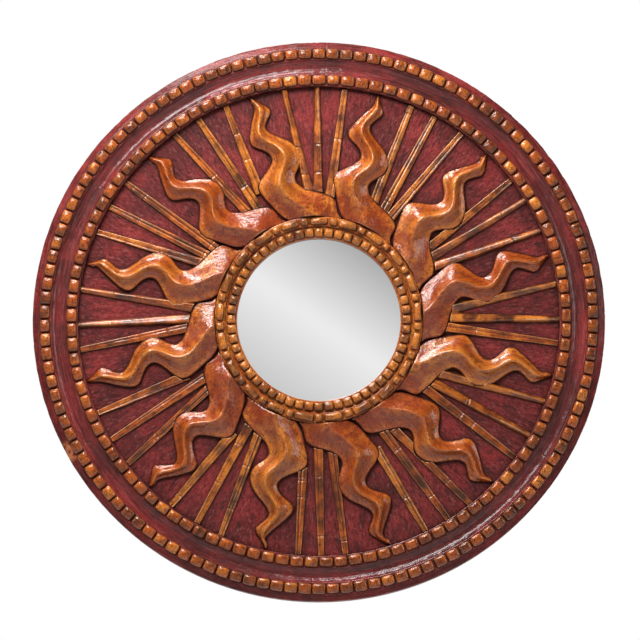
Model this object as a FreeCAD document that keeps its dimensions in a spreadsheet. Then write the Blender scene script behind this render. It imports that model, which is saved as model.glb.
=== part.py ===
"""Carved sunburst wall mirror: an oval plank panel, a coved and beaded rim, flames, rays and a round glass.

Lengths are millimetres. +Z is up and the glass faces -Y. The origin lies on the wall, behind the middle
of the glass. Angles round the panel are degrees clockwise from the top, seen from the front.
"""
import FreeCAD
import Part
import Sketcher

import math
import os

SIZES = [
    ("overall_width", 762, "width over the oval rim"),
    ("overall_height", 750, "height over the oval rim"),
    ("plank_thickness", 20, "boards of the panel"),
    ("plank_count", 4, "boards, one above the other"),
    ("batten_thickness", 16, "stands the panel off the wall"),
    ("batten_width", 60, "across the batten"),
    ("batten_spread_share", 0.512, "between the middles of the battens, over the width"),
    ("batten_end_margin", 30, "from the batten's end to the panel edge"),
    ("outer_lip_width", 8.5, "sloped lip outside the outer beads"),
    ("outer_lip_height", 7, "upright outer edge of the rim"),
    ("outer_seat_width", 16, "flat under the outer beads"),
    ("outer_seat_height", 12, "outer seat above the panel"),
    ("cove_width", 19, "hollow between the bead rows"),
    ("cove_round_share", 0.66, "hollow's radius over its width"),
    ("inner_seat_width", 16.5, "flat under the inner beads"),
    ("inner_seat_height", 9.5, "inner seat above the panel"),
    ("felloe_count", 6, "curved rim pieces"),
    ("felloe_start", 1.5, "angle of the first rim joint"),
    ("outer_bead_count", 122, "blocks in the outer row"),
    ("outer_bead_width", 14.2, "across the outer row"),
    ("inner_bead_count", 105, "blocks in the inner row"),
    ("inner_bead_width", 14.2, "across the inner row"),
    ("bead_height", 6, "blocks above their seat"),
    ("bead_fill_share", 0.86, "block length over the pitch"),
    ("bead_round_share", 0.42, "edge rounding over the block height"),
    ("sight_radius", 109, "opening in front of the glass"),
    ("collar_inner_width", 16, "seat of the small collar blocks"),
    ("collar_inner_height", 6, "that seat above the panel"),
    ("collar_outer_width", 13.5, "seat of the long collar bars"),
    ("collar_outer_height", 8.5, "that seat above the panel"),
    ("collar_bead_count", 56, "small collar blocks"),
    ("collar_bead_width", 12, "across the small blocks"),
    ("collar_bar_count", 21, "long bars, each with a stud after it"),
    ("collar_bar_width", 10.5, "across the bars and studs"),
    ("collar_bar_share", 0.58, "bar length over the pitch"),
    ("collar_stud_share", 0.24, "stud length over the pitch"),
    ("flame_crest_height", 13.5, "highest crest above the panel"),
    ("flame_edge_height", 5, "upright carved side of a flame"),
    ("flame_crest_width", 1.6, "worn flat along the crest"),
    ("flame_root_gap", 2.4, "dark line beside the next flame"),
    ("flame_tip_gap", 2, "from a tip to the rim"),
    ("flame_collar_gap", 0.3, "glue line round the collar"),
    ("flame_ray_gap", 0.3, "glue line beside the rays"),
    ("ray_inner_width", 11, "ray at its inner end"),
    ("ray_outer_width", 6.6, "ray at the rim"),
    ("ray_end_gap", 0.6, "from a ray to the rim"),
    ("glass_lap", 5.3, "glass behind the collar, which makes it nine inches across"),
    ("glass_thickness", 4, "silvered glass"),
    ("glass_bevel", 0.6, "ground edge of the glass"),
    ("glass_play", 1.7, "hole in the panel beyond the glass"),
    ("felt_thickness", 3, "pad behind the glass"),
    ("backing_play", 1.2, "hole in the panel beyond the backing"),
    ("button_width", 14, "turn button"),
    ("button_reach", 22, "pivot to the far round of the button"),
    ("button_thickness", 2, "turn button plate"),
    ("button_margin", 10, "pivot outside the panel's hole"),
    ("button_play", 0.25, "air over and under the button"),
    ("pivot_play", 0.08, "button's bore beyond the pivot screw"),
    ("pan_head_radius", 3.6, "round-headed screw"),
    ("pan_head_height", 2.2, "round-headed screw"),
    ("pan_shank_radius", 1.75, "round-headed screw"),
    ("pan_screw_length", 13, "round-headed screw under its head"),
    ("flat_head_radius", 4, "countersunk screw"),
    ("flat_head_height", 2.4, "countersunk screw"),
    ("flat_shank_radius", 2, "countersunk screw"),
    ("flat_screw_length", 28, "countersunk screw over all"),
    ("screw_tip", 4, "pointed end of a screw"),
    ("screw_play", 0.2, "holes beyond the screws"),
    ("slot_width", 1, "driver slot"),
    ("slot_depth", 0.9, "driver slot"),
    ("rim_screw_spread", 30, "angle between a rim piece's two screws"),
    ("batten_screw_stagger", 24, "batten screws side to side"),
    ("hanger_spread_share", 0.696, "between the hangers, over the width"),
    ("hanger_height", 150, "hanger pivots above the middle"),
    ("strap_width", 16, "hanger strap"),
    ("strap_length", 43, "pivot to the strap's end"),
    ("strap_thickness", 1.5, "hanger strap"),
    ("strap_knuckle_radius", 4, "rolled end of the strap"),
    ("strap_first_screw", 12, "pivot to the near screw"),
    ("strap_second_screw", 36, "pivot to the far screw"),
    ("ring_wire_radius", 2, "hanger ring wire"),
    ("ring_play", 0.06, "knuckle bore beyond the wire"),
    ("ring_half_width", 14, "middle of the ring to its arm"),
    ("ring_bend", 4, "ring corners"),
    ("ring_arm", 6, "straight arms of the ring"),
]

# Flame edges, read off the photograph for each flame in turn, in degrees past that flame's own
# twelfth of the circle, from the tip inward through two waves to the neck.
FLAME_LEFT_DEGREES = [
    (14.3, 13.4, 8.8, 13.9, 5.7),
    (14.3, 14.5, 10.6, 15.3, 6.9),
    (13.7, 13.3, 9.3, 15.0, 6.6),
    (12.9, 12.6, 8.1, 13.0, 5.8),
    (12.6, 12.6, 8.2, 14.0, 5.9),
    (11.6, 13.0, 8.1, 13.6, 5.5),
    (12.4, 13.0, 7.6, 13.5, 4.3),
    (14.5, 14.1, 9.4, 15.8, 6.5),
    (14.4, 13.5, 9.8, 14.8, 5.9),
    (13.1, 12.9, 8.6, 13.7, 5.5),
    (13.3, 13.2, 9.2, 13.9, 6.0),
    (12.4, 12.6, 8.8, 13.3, 5.1),
]
FLAME_RIGHT_DEGREES = [
    (15.5, 17.1, 15.1, 24.4, 20.5),
    (16.4, 18.3, 16.9, 26.0, 22.6),
    (15.0, 17.4, 15.6, 24.1, 21.3),
    (14.4, 16.5, 14.9, 23.1, 20.0),
    (14.1, 16.9, 15.1, 24.4, 21.0),
    (13.9, 16.9, 15.0, 23.4, 21.2),
    (13.6, 16.8, 14.7, 24.1, 20.7),
    (16.1, 18.1, 15.2, 25.6, 21.5),
    (15.9, 17.4, 15.2, 23.9, 20.5),
    (14.5, 16.0, 14.7, 23.4, 20.4),
    (15.0, 17.4, 15.2, 24.1, 20.8),
    (13.8, 17.1, 14.9, 24.0, 20.8),
]
# How far out those five stations lie, from the collar to the rim.
FLAME_LEFT_SHARES = (1.0, 0.89, 0.69, 0.48, 0.285)
FLAME_RIGHT_SHARES = (1.0, 0.85, 0.73, 0.475, 0.3)
# Before some of those, an edge swells: share of the way out, and part of the turn made by there.
LEFT_SWELLS = {1: (0.945, 0.45), 3: (0.585, 0.57), 4: (0.375, 0.72)}
RIGHT_SWELLS = {1: (0.925, 0.6), 3: (0.605, 0.66), 4: (0.385, 0.45)}
# The root sweeps round the collar: share of the way out, and degrees past the neck.
ROOT_LEFT_SHARES = ((0.155, 2.2), (0.02, 7.3), (-0.02, 16), (-0.02, 25), (-0.02, 33))
ROOT_RIGHT_SHARES = ((0.225, 3.8), (0.19, 10))
# Where the root's last three stations meet the next flame's left edge, in stations from its tip.
ROOT_MEETS_STATIONS = (8.0, 8.5, 9.0)
# Across each station: where the crest stands, and the heights of crest and side.
CREST_PLACE_SHARES = (0.47, 0.47, 0.48, 0.54, 0.5, 0.43, 0.47, 0.53, 0.53, 0.5, 0.41, 0.37, 0.4)
CREST_HEIGHT_SHARES = (0.32, 0.45, 0.56, 0.76, 0.84, 0.92, 0.97, 1.0, 1.0, 0.95, 0.85, 0.7, 0.5)
EDGE_HEIGHT_SHARES = (0.4, 0.5, 0.65, 0.8, 0.85, 0.9, 0.95, 1.0, 1.0, 1.0, 1.0, 0.9, 0.7)
STEPS_PER_STATION = 3
FLANK_HOLLOW_SHARE = 0.44
CREST_LIMIT_SHARE = 0.1

# Three rays between each flame and the next: angle at the rim and at the root, same datum as the flames.
RAY_DEGREES = [
    ((23.2, 25.2), (29.5, 30.6), (37.2, 34.4)),
    ((23.8, 27.2), (30.6, 31.2), (37.0, 34.3)),
    ((22.2, 26.5), (28.9, 28.6), (35.6, 33.0)),
    ((21.0, 25.5), (28.0, 28.6), (35.3, 32.8)),
    ((20.8, 26.8), (27.2, 30.6), (33.3, 36.0)),
    ((23.5, 24.3), (29.4, 30.3), (35.0, 36.3)),
    ((24.3, 28.2), (30.8, 33.4), (38.3, 37.0)),
    ((22.8, 28.6), (29.8, 33.2), (37.0, 37.0)),
    ((22.8, 27.2), (29.7, 31.2), (36.4, 34.8)),
    ((21.8, 26.8), (28.6, 30.3), (35.6, 34.7)),
    ((22.3, 27.2), (29.2, 32.0), (36.6, 35.3)),
    ((22.3, 26.8), (28.7, 29.4), (36.4, 35.0)),
]
# How far out from the collar a ray begins: inside a root, or in the next flame's neck.
RAY_ROOT_SHARE = 0.13
RAY_NECK_SHARE = 0.28
# Groups whose third ray runs into the next flame's neck.
NECK_GROUPS = (4, 5, 6, 7, 10)

PAN_ROUND_SHARE = 0.4
# Batten screws, in plank heights up and down from the middle.
BATTEN_SCREW_SHARES = (-1.36, -1.12, -0.75, -0.25, 0.25, 0.75, 1.12, 1.36)
BUTTON_ANGLES = (45, 135, 225, 315)
SIDES = (("left", -1), ("right", 1))

FULL_TURN = 360
QUARTER_TURN = 90
X_AXIS = FreeCAD.Vector(1, 0, 0)
Y_AXIS = FreeCAD.Vector(0, 1, 0)
Z_AXIS = FreeCAD.Vector(0, 0, 1)
FRONTWARD = FreeCAD.Vector(0, -1, 0)
# A flat drawing stood upright, and a tool's own axis turned towards the viewer or towards the wall.
UPRIGHT = FreeCAD.Rotation(X_AXIS, 90)
TO_FRONT = UPRIGHT
TO_WALL = FreeCAD.Rotation(X_AXIS, -90)

document = FreeCAD.newDocument("sunburst_mirror")
sheet = document.addObject("Spreadsheet::Sheet", "sizes")
nodes = []


class Size:
    """A number together with the spreadsheet expression it comes from."""

    def __init__(self, value, text):
        self.value = value
        self.text = text

    def joined(self, sign, other, value):
        return Size(value, f"({self.text} {sign} {other.text})")

    def __add__(self, other):
        other = as_size(other)
        return self.joined("+", other, self.value + other.value)

    def __sub__(self, other):
        other = as_size(other)
        return self.joined("-", other, self.value - other.value)

    def __mul__(self, other):
        other = as_size(other)
        return self.joined("*", other, self.value * other.value)

    def __truediv__(self, other):
        other = as_size(other)
        return self.joined("/", other, self.value / other.value)

    def __neg__(self):
        return Size(-self.value, f"(-1 * {self.text})")

    def root(self):
        return Size(math.sqrt(self.value), f"sqrt({self.text})")


def as_size(number):
    return number if isinstance(number, Size) else Size(number, str(number))


class Cells:
    """The sheet's cells by their aliases."""

    def __getattr__(self, alias):
        return Size(float(sheet.get(alias)), f"sizes.{alias}")


def fill_sheet():
    for row, (alias, number, note) in enumerate(SIZES, start=1):
        sheet.set(f"A{row}", alias)
        sheet.set(f"B{row}", str(number))
        sheet.setAlias(f"B{row}", alias)
        sheet.set(f"C{row}", note)
    document.recompute()


fill_sheet()
cells = Cells()

half_width = cells.overall_width / 2
half_height = cells.overall_height / 2
stands_tall = half_height.value > half_width.value
back_level = -cells.batten_thickness
front_level = -(cells.batten_thickness + cells.plank_thickness)
plank_height = cells.overall_height / cells.plank_count
batten_spread = cells.overall_width * cells.batten_spread_share
hanger_spread = cells.overall_width * cells.hanger_spread_share
glass_radius = cells.sight_radius + cells.glass_lap
outer_row_inset = cells.outer_lip_width + cells.outer_seat_width / 2
cove_inset = cells.outer_lip_width + cells.outer_seat_width
inner_seat_inset = cove_inset + cells.cove_width
inner_row_inset = inner_seat_inset + cells.inner_seat_width / 2
rim_width = inner_seat_inset + cells.inner_seat_width
collar_step_radius = cells.sight_radius + cells.collar_inner_width
collar_radius = collar_step_radius + cells.collar_outer_width
hole_radius = glass_radius + cells.glass_play
backing_thickness = cells.plank_thickness - cells.glass_thickness - cells.felt_thickness


def add(kind, name):
    """Add a document object under a plain name."""
    item = document.addObject(kind, name)
    item.Label = name
    return item


def bind(item, **expressions):
    """Tie properties to the sheet."""
    for name, number in expressions.items():
        item.setExpression(name, as_size(number).text)


def place(item, rotation=None, x=0, y=0, z=0):
    """Turn an item and tie its position to the sheet."""
    item.Placement = FreeCAD.Placement(FreeCAD.Vector(), rotation or FreeCAD.Rotation())
    for letter, number in (("x", x), ("y", y), ("z", z)):
        item.setExpression(f"Placement.Base.{letter}", as_size(number).text)


def keep(item, name):
    """Name a finished piece and list it as a node."""
    item.Label = name
    nodes.append(item)
    return item


def boolean(kind, name, base, tool):
    item = add(kind, name)
    item.Base = base
    item.Tool = tool
    return item


def group(name, items):
    item = add("Part::Compound", name)
    item.Links = items
    return item


def solids(name, shapes):
    """A piece made of separate solids."""
    item = add("Part::Feature", name)
    item.Shape = Part.Compound(shapes)
    return item


def placed(shape, rotation, position):
    copy = shape.copy()
    copy.Placement = FreeCAD.Placement(position, rotation)
    return copy


def turned(angle):
    """A clockwise turn seen from the front."""
    return FreeCAD.Rotation(Y_AXIS, angle)


def around(radius, angle, level):
    """A point at a radius and clock angle, on a level of the frame's Y."""
    turn = math.radians(angle)
    return FreeCAD.Vector(radius * math.sin(turn), level, radius * math.cos(turn))


def oval_radius(inset, angle):
    """Distance from the middle to an oval that lies inside the outer edge."""
    turn = math.radians(angle)
    across = math.sin(turn) / (half_width.value - inset)
    upward = math.cos(turn) / (half_height.value - inset)
    return 1 / math.hypot(across, upward)


def oval_facing(inset, angle):
    """Clock angle that the oval faces at a clock angle of its own."""
    turn = math.radians(angle)
    across = math.sin(turn) / (half_width.value - inset) ** 2
    upward = math.cos(turn) / (half_height.value - inset) ** 2
    return math.degrees(math.atan2(across, upward))


def plane_of(body, role):
    return next(plane for plane in body.Origin.OriginFeatures if plane.Role == role)


def new_sketch(body, role, name):
    drawing = body.newObject("Sketcher::SketchObject", name)
    drawing.AttachmentSupport = (plane_of(body, role), [""])
    drawing.MapMode = "FlatFace"
    return drawing


def fix(drawing, kind, target, number):
    """Add a dimension to a drawing and tie it to the sheet."""
    number = as_size(number)
    index = drawing.addConstraint(Sketcher.Constraint(kind, *target, number.value))
    drawing.setExpression(f"Constraints[{index}]", number.text)


def fix_point(drawing, edge, end, point):
    fix(drawing, "DistanceX", (-1, 1, edge, end), point[0])
    fix(drawing, "DistanceY", (-1, 1, edge, end), point[1])


def draw_outline(drawing, points, arcs=()):
    """Draw a closed outline with every corner tied to the sheet.

    An arc takes a straight edge's place. It is given by the edge's number, a point it passes near, and
    the dimension that settles it: its radius, or the height of its centre where it is a half round.
    """
    spots = [FreeCAD.Vector(as_size(x).value, as_size(y).value, 0) for x, y in points]
    total = len(points)
    via = {number: FreeCAD.Vector(as_size(x).value, as_size(y).value, 0) for number, (x, y), _, _ in arcs}
    for number, start in enumerate(spots):
        end = spots[(number + 1) % total]
        if number in via:
            drawing.addGeometry(Part.Arc(start, via[number], end))
        else:
            drawing.addGeometry(Part.LineSegment(start, end))
    ends = [end_marks(drawing, number, spots[number]) for number in range(total)]
    for number in range(total):
        after = (number + 1) % total
        joint = (number, ends[number][1], after, ends[after][0])
        drawing.addConstraint(Sketcher.Constraint("Coincident", *joint))
        fix_point(drawing, number, ends[number][0], points[number])
    for number, _, kind, length in arcs:
        target = (number,) if kind == "Radius" else (-1, 1, number, 3)
        fix(drawing, kind, target, length)


def end_marks(drawing, number, start):
    """Which of an edge's two ends the outline enters by, and which it leaves by."""
    gap_first = drawing.getPoint(number, 1).distanceToPoint(start)
    gap_second = drawing.getPoint(number, 2).distanceToPoint(start)
    return (1, 2) if gap_first <= gap_second else (2, 1)


def draw_circle(drawing, radius, x=0, y=0):
    centre = FreeCAD.Vector(as_size(x).value, as_size(y).value, 0)
    edge = drawing.addGeometry(Part.Circle(centre, FreeCAD.Vector(0, 0, 1), radius.value))
    fix_point(drawing, edge, 3, (x, y))
    fix(drawing, "Radius", (edge,), radius)


def pad(body, name, drawing, length):
    feature = body.newObject("PartDesign::Pad", name)
    feature.Profile = drawing
    bind(feature, Length=length)
    body.Tip = feature
    document.recompute()
    return feature


def revolve(body, name, drawing):
    feature = body.newObject("PartDesign::Revolution", name)
    feature.Profile = drawing
    feature.ReferenceAxis = (drawing, ["V_Axis"])
    feature.Angle = FULL_TURN
    body.Tip = feature
    document.recompute()
    return feature


def dress(body, kind, name, feature, chosen, **numbers):
    """Round or bevel the edges of a feature that a test picks out."""
    picks = [f"Edge{index}" for index, edge in enumerate(feature.Shape.Edges, start=1) if chosen(edge)]
    dressed = body.newObject(kind, name)
    dressed.Base = (feature, picks)
    bind(dressed, **numbers)
    body.Tip = dressed
    document.recompute()
    return dressed


def rectangle(half_x, half_y):
    return [(-half_x, -half_y), (half_x, -half_y), (half_x, half_y), (-half_x, half_y)]


def make_screw(name, profile, slot_top):
    """A slotted screw that points down its own axis, and the hole it needs."""
    body = add("PartDesign::Body", name)
    revolve(body, f"{name}_turned", outline_on(body, "XZ_Plane", f"{name}_profile", profile(as_size(0))))
    slot_sketch = new_sketch(body, "XY_Plane", f"{name}_slot_sketch")
    slot_reach = cells.flat_head_radius + cells.pan_head_radius
    draw_outline(slot_sketch, rectangle(slot_reach, cells.slot_width / 2))
    bind_offset(slot_sketch, slot_top)
    slot = body.newObject("PartDesign::Pocket", f"{name}_slot")
    slot.Profile = slot_sketch
    bind(slot, Length=cells.slot_depth)
    body.Tip = slot
    hole = add("PartDesign::Body", f"{name}_hole")
    hole_profile = profile(cells.screw_play)
    revolve(hole, f"{name}_bored", outline_on(hole, "XZ_Plane", f"{name}_hole_profile", hole_profile))
    return body.Shape, hole.Shape


def outline_on(body, role, name, points, arcs=()):
    drawing = new_sketch(body, role, name)
    draw_outline(drawing, points, arcs)
    return drawing


def bind_offset(drawing, height):
    drawing.setExpression("AttachmentOffset.Base.z", as_size(height).text)


def pan_profile(play):
    """Half outline of a round-headed screw, from the top of its head to its point."""
    rounding = cells.pan_head_height * PAN_ROUND_SHARE
    return [
        (0, cells.pan_head_height),
        (cells.pan_head_radius - rounding, cells.pan_head_height),
        (cells.pan_head_radius, cells.pan_head_height - rounding),
        (cells.pan_head_radius, 0),
        (cells.pan_shank_radius + play, 0),
        (cells.pan_shank_radius + play, cells.screw_tip - cells.pan_screw_length),
        (0, -(cells.pan_screw_length + play)),
    ]


def flat_profile(play):
    """Half outline of a countersunk screw, from its flat head to its point."""
    return [
        (0, 0),
        (cells.flat_head_radius + play, 0),
        (cells.flat_shank_radius + play, -cells.flat_head_height),
        (cells.flat_shank_radius + play, cells.screw_tip - cells.flat_screw_length),
        (0, -(cells.flat_screw_length + play)),
    ]


def make_screws():
    """The two kinds of screw, and every place where one is driven."""
    pan_screw, pan_hole = make_screw("pan_screw", pan_profile, cells.pan_head_height)
    flat_screw, flat_hole = make_screw("flat_screw", flat_profile, 0)

    button_seat = back_level + cells.button_thickness + cells.button_play * 2
    strap_seat = back_level + cells.strap_thickness
    pivot_radius = (hole_radius + cells.button_margin).value
    button_places = [around(pivot_radius, angle, button_seat.value) for angle in BUTTON_ANGLES]

    hanger_places = []
    for _, side in SIDES:
        for drop in (cells.strap_first_screw, cells.strap_second_screw):
            x = hanger_spread.value / 2 * side
            z = (cells.hanger_height - drop).value
            hanger_places.append(FreeCAD.Vector(x, strap_seat.value, z))

    batten_places = []
    for _, side in SIDES:
        for number, share in enumerate(BATTEN_SCREW_SHARES):
            stagger = cells.batten_screw_stagger.value / 2 * (-1) ** number
            x = batten_spread.value / 2 * side + stagger
            batten_places.append(FreeCAD.Vector(x, 0, plank_height.value * share))

    rim_places = []
    piece_angle = FULL_TURN / cells.felloe_count.value
    for number in range(int(cells.felloe_count.value)):
        middle = cells.felloe_start.value + piece_angle * (number + 0.5)
        for side in (-1, 1):
            angle = middle + side * cells.rim_screw_spread.value / 2
            radius = oval_radius(outer_row_inset.value, angle)
            rim_places.append(around(radius, angle, back_level.value))

    holes = []
    drives = (
        ("turn_button_screws", pan_screw, pan_hole, button_places),
        ("hanger_screws", pan_screw, pan_hole, hanger_places),
        ("batten_screws", flat_screw, flat_hole, batten_places),
        ("rim_screws", flat_screw, flat_hole, rim_places),
    )
    for name, screw, hole, spots in drives:
        keep(solids(name, [placed(screw, TO_WALL, spot) for spot in spots]), name)
        holes.append(solids(f"{name}_holes", [placed(hole, TO_WALL, spot) for spot in spots]))
    return group("screw_holes", holes)


def make_oval(name, level):
    """The panel's outer oval, drawn from its long axis: the upright one where the panel stands tall."""
    oval = add("Part::Ellipse", name)
    if stands_tall:
        bind(oval, MajorRadius=half_height, MinorRadius=half_width)
    else:
        bind(oval, MajorRadius=half_width, MinorRadius=half_height)
    place(oval, UPRIGHT.multiply(FreeCAD.Rotation(Z_AXIS, long_axis_turn())), y=level)
    return oval


def long_axis_turn():
    return QUARTER_TURN if stands_tall else 0


def make_planks(screw_holes):
    """Boards of the oval panel, with the round hole for the glass cut through the middle two."""
    blank = add("Part::Extrusion", "panel_blank")
    blank.Base = make_oval("panel_edge", back_level)
    blank.DirMode = "Custom"
    blank.Dir = FRONTWARD
    blank.Solid = True
    bind(blank, LengthFwd=cells.plank_thickness)
    hole = add("Part::Cylinder", "glass_hole")
    bind(hole, Radius=hole_radius, Height=cells.plank_thickness)
    place(hole, TO_FRONT, y=back_level)
    bored = boolean("Part::Cut", "panel_bored", blank, hole)
    drilled = boolean("Part::Cut", "panel_drilled", bored, screw_holes)
    for number in range(int(cells.plank_count.value)):
        board = add("Part::Box", f"board_{number + 1}")
        bind(board, Length=cells.overall_width, Width=cells.plank_thickness, Height=plank_height)
        place(board, None, -half_width, front_level, half_height - plank_height * (number + 1))
        name = f"plank_{number + 1}"
        keep(boolean("Part::Common", name, drilled, board), name)


def make_battens(screw_holes):
    """Two upright battens that tie the boards together and rest on the wall."""
    far_edge = batten_spread / 2 + cells.batten_width / 2
    far_share = far_edge / half_width
    half_length = half_height * (Size(1, "1") - far_share * far_share).root() - cells.batten_end_margin
    for side_name, side in SIDES:
        body = add("PartDesign::Body", f"batten_{side_name}_blank")
        outline = rectangle(cells.batten_width / 2, half_length)
        drawing = outline_on(body, "XZ_Plane", f"batten_{side_name}_outline", outline)
        pad(body, f"batten_{side_name}_pad", drawing, cells.batten_thickness)
        place(body, None, batten_spread / 2 * side)
        name = f"batten_{side_name}"
        keep(boolean("Part::Cut", name, body, screw_holes), name)


def rim_section(name):
    """Section of the rim, outward from its outer edge: sloped lip, bead seat, cove and inner seat."""
    drawing = add("Sketcher::SketchObject", name)
    cove_middle = (-(cove_inset + cells.cove_width / 2), cells.inner_seat_height / 2)
    cove_round = cells.cove_width * cells.cove_round_share
    outline = [
        (0, 0),
        (0, cells.outer_lip_height),
        (-cells.outer_lip_width, cells.outer_seat_height),
        (-cove_inset, cells.outer_seat_height),
        (-inner_seat_inset, cells.inner_seat_height),
        (-rim_width, cells.inner_seat_height),
        (-rim_width, 0),
    ]
    draw_outline(drawing, outline, [(3, cove_middle, "Radius", cove_round)])
    return drawing


def oval_parameter(angle):
    """The outer oval's own parameter at a clock angle, anticlockwise from its long axis."""
    turn = math.radians(angle)
    across = math.sin(turn) / half_width.value
    upward = math.cos(turn) / half_height.value
    return (math.degrees(math.atan2(upward, across)) - long_axis_turn()) % FULL_TURN


def make_rim(screw_holes):
    """Curved rim pieces, each swept along its own stretch of the oval."""
    step = FULL_TURN / cells.felloe_count.value
    for number in range(int(cells.felloe_count.value)):
        name = f"rim_felloe_{number + 1}"
        first_angle = cells.felloe_start.value + step * number
        last_angle = first_angle + step
        path = make_oval(f"{name}_path", front_level)
        path.Angle1 = oval_parameter(last_angle)
        path.Angle2 = oval_parameter(first_angle)
        drawing = rim_section(f"{name}_section")
        outward = around(1, oval_facing(0, last_angle), 0)
        upright = FreeCAD.Rotation(outward, FRONTWARD, outward.cross(FRONTWARD), "XYZ")
        spot = around(oval_radius(0, last_angle), last_angle, front_level.value)
        drawing.Placement = FreeCAD.Placement(spot, upright)
        blank = add("Part::Sweep", f"{name}_blank")
        blank.Sections = [drawing]
        blank.Spine = (path, ["Edge1"])
        blank.Solid = True
        keep(boolean("Part::Cut", name, blank, screw_holes), name)


def bead_block(name, length, width):
    """One block with its upper edges and corners rounded over."""
    body = add("PartDesign::Body", name)
    drawing = outline_on(body, "XY_Plane", f"{name}_outline", rectangle(length / 2, width / 2))
    block = pad(body, f"{name}_pad", drawing, cells.bead_height)
    upper = block.Shape.BoundBox.Center.z / 2
    dress(
        body,
        "PartDesign::Fillet",
        f"{name}_round",
        block,
        lambda edge: edge.CenterOfMass.z > upper,
        Radius=cells.bead_height * cells.bead_round_share,
    )
    return body.Shape


def make_oval_row(name, count, width, inset, seat_height):
    """Blocks stepped evenly along an oval inside the rim."""
    mean_radius = (half_width + half_height) / 2 - inset
    pitch = mean_radius * (2 * math.pi) / count
    block = bead_block(f"{name}_block", pitch * cells.bead_fill_share, width)
    level = (front_level - seat_height).value
    row = []
    for number in range(int(count.value)):
        angle = FULL_TURN * number / count.value
        spot = around(oval_radius(inset.value, angle), angle, level)
        row.append(placed(block, turned(oval_facing(inset.value, angle)).multiply(TO_FRONT), spot))
    keep(solids(name, row), name)


def make_round_row(name, count, length_share, width, radius, seat_height, start_share):
    """Blocks stepped evenly round the collar."""
    pitch = radius * (2 * math.pi) / count
    block = bead_block(f"{name}_block", pitch * length_share, width)
    level = (front_level - seat_height).value
    row = []
    for number in range(int(count.value)):
        angle = FULL_TURN * (number + start_share) / count.value
        row.append(placed(block, turned(angle).multiply(TO_FRONT), around(radius.value, angle, level)))
    keep(solids(name, row), name)


def make_collar():
    """The ring that laps the edge of the glass, and its two carved rows."""
    body = add("PartDesign::Body", "collar")
    outline = [
        (cells.sight_radius, 0),
        (collar_radius, 0),
        (collar_radius, cells.collar_outer_height),
        (collar_step_radius, cells.collar_outer_height),
        (collar_step_radius, cells.collar_inner_height),
        (cells.sight_radius, cells.collar_inner_height),
    ]
    revolve(body, "collar_turned", outline_on(body, "XZ_Plane", "collar_section", outline))
    place(body, TO_FRONT, y=front_level)
    keep(body, "collar")
    inner_row = cells.sight_radius + cells.collar_inner_width / 2
    outer_row = collar_step_radius + cells.collar_outer_width / 2
    inner_seat = cells.collar_inner_height
    outer_seat = cells.collar_outer_height
    bars = cells.collar_bar_count
    bead_share = cells.bead_fill_share
    width = cells.collar_bar_width
    bead_width = cells.collar_bead_width
    make_round_row("collar_beads", cells.collar_bead_count, bead_share, bead_width, inner_row, inner_seat, 0)
    make_round_row("collar_bars", bars, cells.collar_bar_share, width, outer_row, outer_seat, 0)
    make_round_row("collar_studs", bars, cells.collar_stud_share, width, outer_row, outer_seat, 0.5)


def field_point(share, angle):
    """A point on the panel's face, part of the way from the collar to the rim."""
    inner = collar_radius.value
    outer = oval_radius((rim_width + cells.flame_tip_gap).value, angle)
    return around(inner + share * (outer - inner), angle, front_level.value)


def smooth_curve(points):
    """A curve through points, one unit of its parameter from each to the next."""
    curve = Part.BSplineCurve()
    curve.interpolate(Points=points, Parameters=[float(number) for number in range(len(points))])
    return curve


def edge_stations(shares, degrees, swells):
    """Share and degrees at each station of a flame's edge, with its swells set in."""
    stations = []
    for number, (share, angle) in enumerate(zip(shares, degrees)):
        if number in swells:
            swell_share, turn = swells[number]
            before = stations[-1][1]
            stations.append((swell_share, before + turn * (angle - before)))
        stations.append((share, angle))
    return stations


def flame_edges():
    """Left and right edge curves of every flame; each root tucks in beside the next flame."""
    total = len(FLAME_LEFT_DEGREES)
    step = FULL_TURN / total
    lefts = []
    for number, degrees in enumerate(FLAME_LEFT_DEGREES):
        base = number * step
        stations = edge_stations(FLAME_LEFT_SHARES, degrees, LEFT_SWELLS)
        points = [field_point(share, base + angle) for share, angle in stations]
        points += [field_point(share, base + degrees[-1] + past) for share, past in ROOT_LEFT_SHARES]
        lefts.append(smooth_curve(points))
    rights = []
    for number, degrees in enumerate(FLAME_RIGHT_DEGREES):
        base = number * step
        stations = edge_stations(FLAME_RIGHT_SHARES, degrees, RIGHT_SWELLS)
        points = [field_point(share, base + angle) for share, angle in stations]
        points += [field_point(share, base + degrees[-1] + past) for share, past in ROOT_RIGHT_SHARES]
        after = lefts[(number + 1) % total]
        for station in ROOT_MEETS_STATIONS:
            inward = after.tangent(station)[0].cross(FRONTWARD)
            points.append(after.value(station) + inward * cells.flame_root_gap.value)
        rights.append(smooth_curve(points))
    return list(zip(lefts, rights))


def between(table, station):
    """A table's value at a station, or part way to the next."""
    before = int(station)
    after = min(before + 1, len(table) - 1)
    return table[before] + (table[after] - table[before]) * (station - before)


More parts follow.
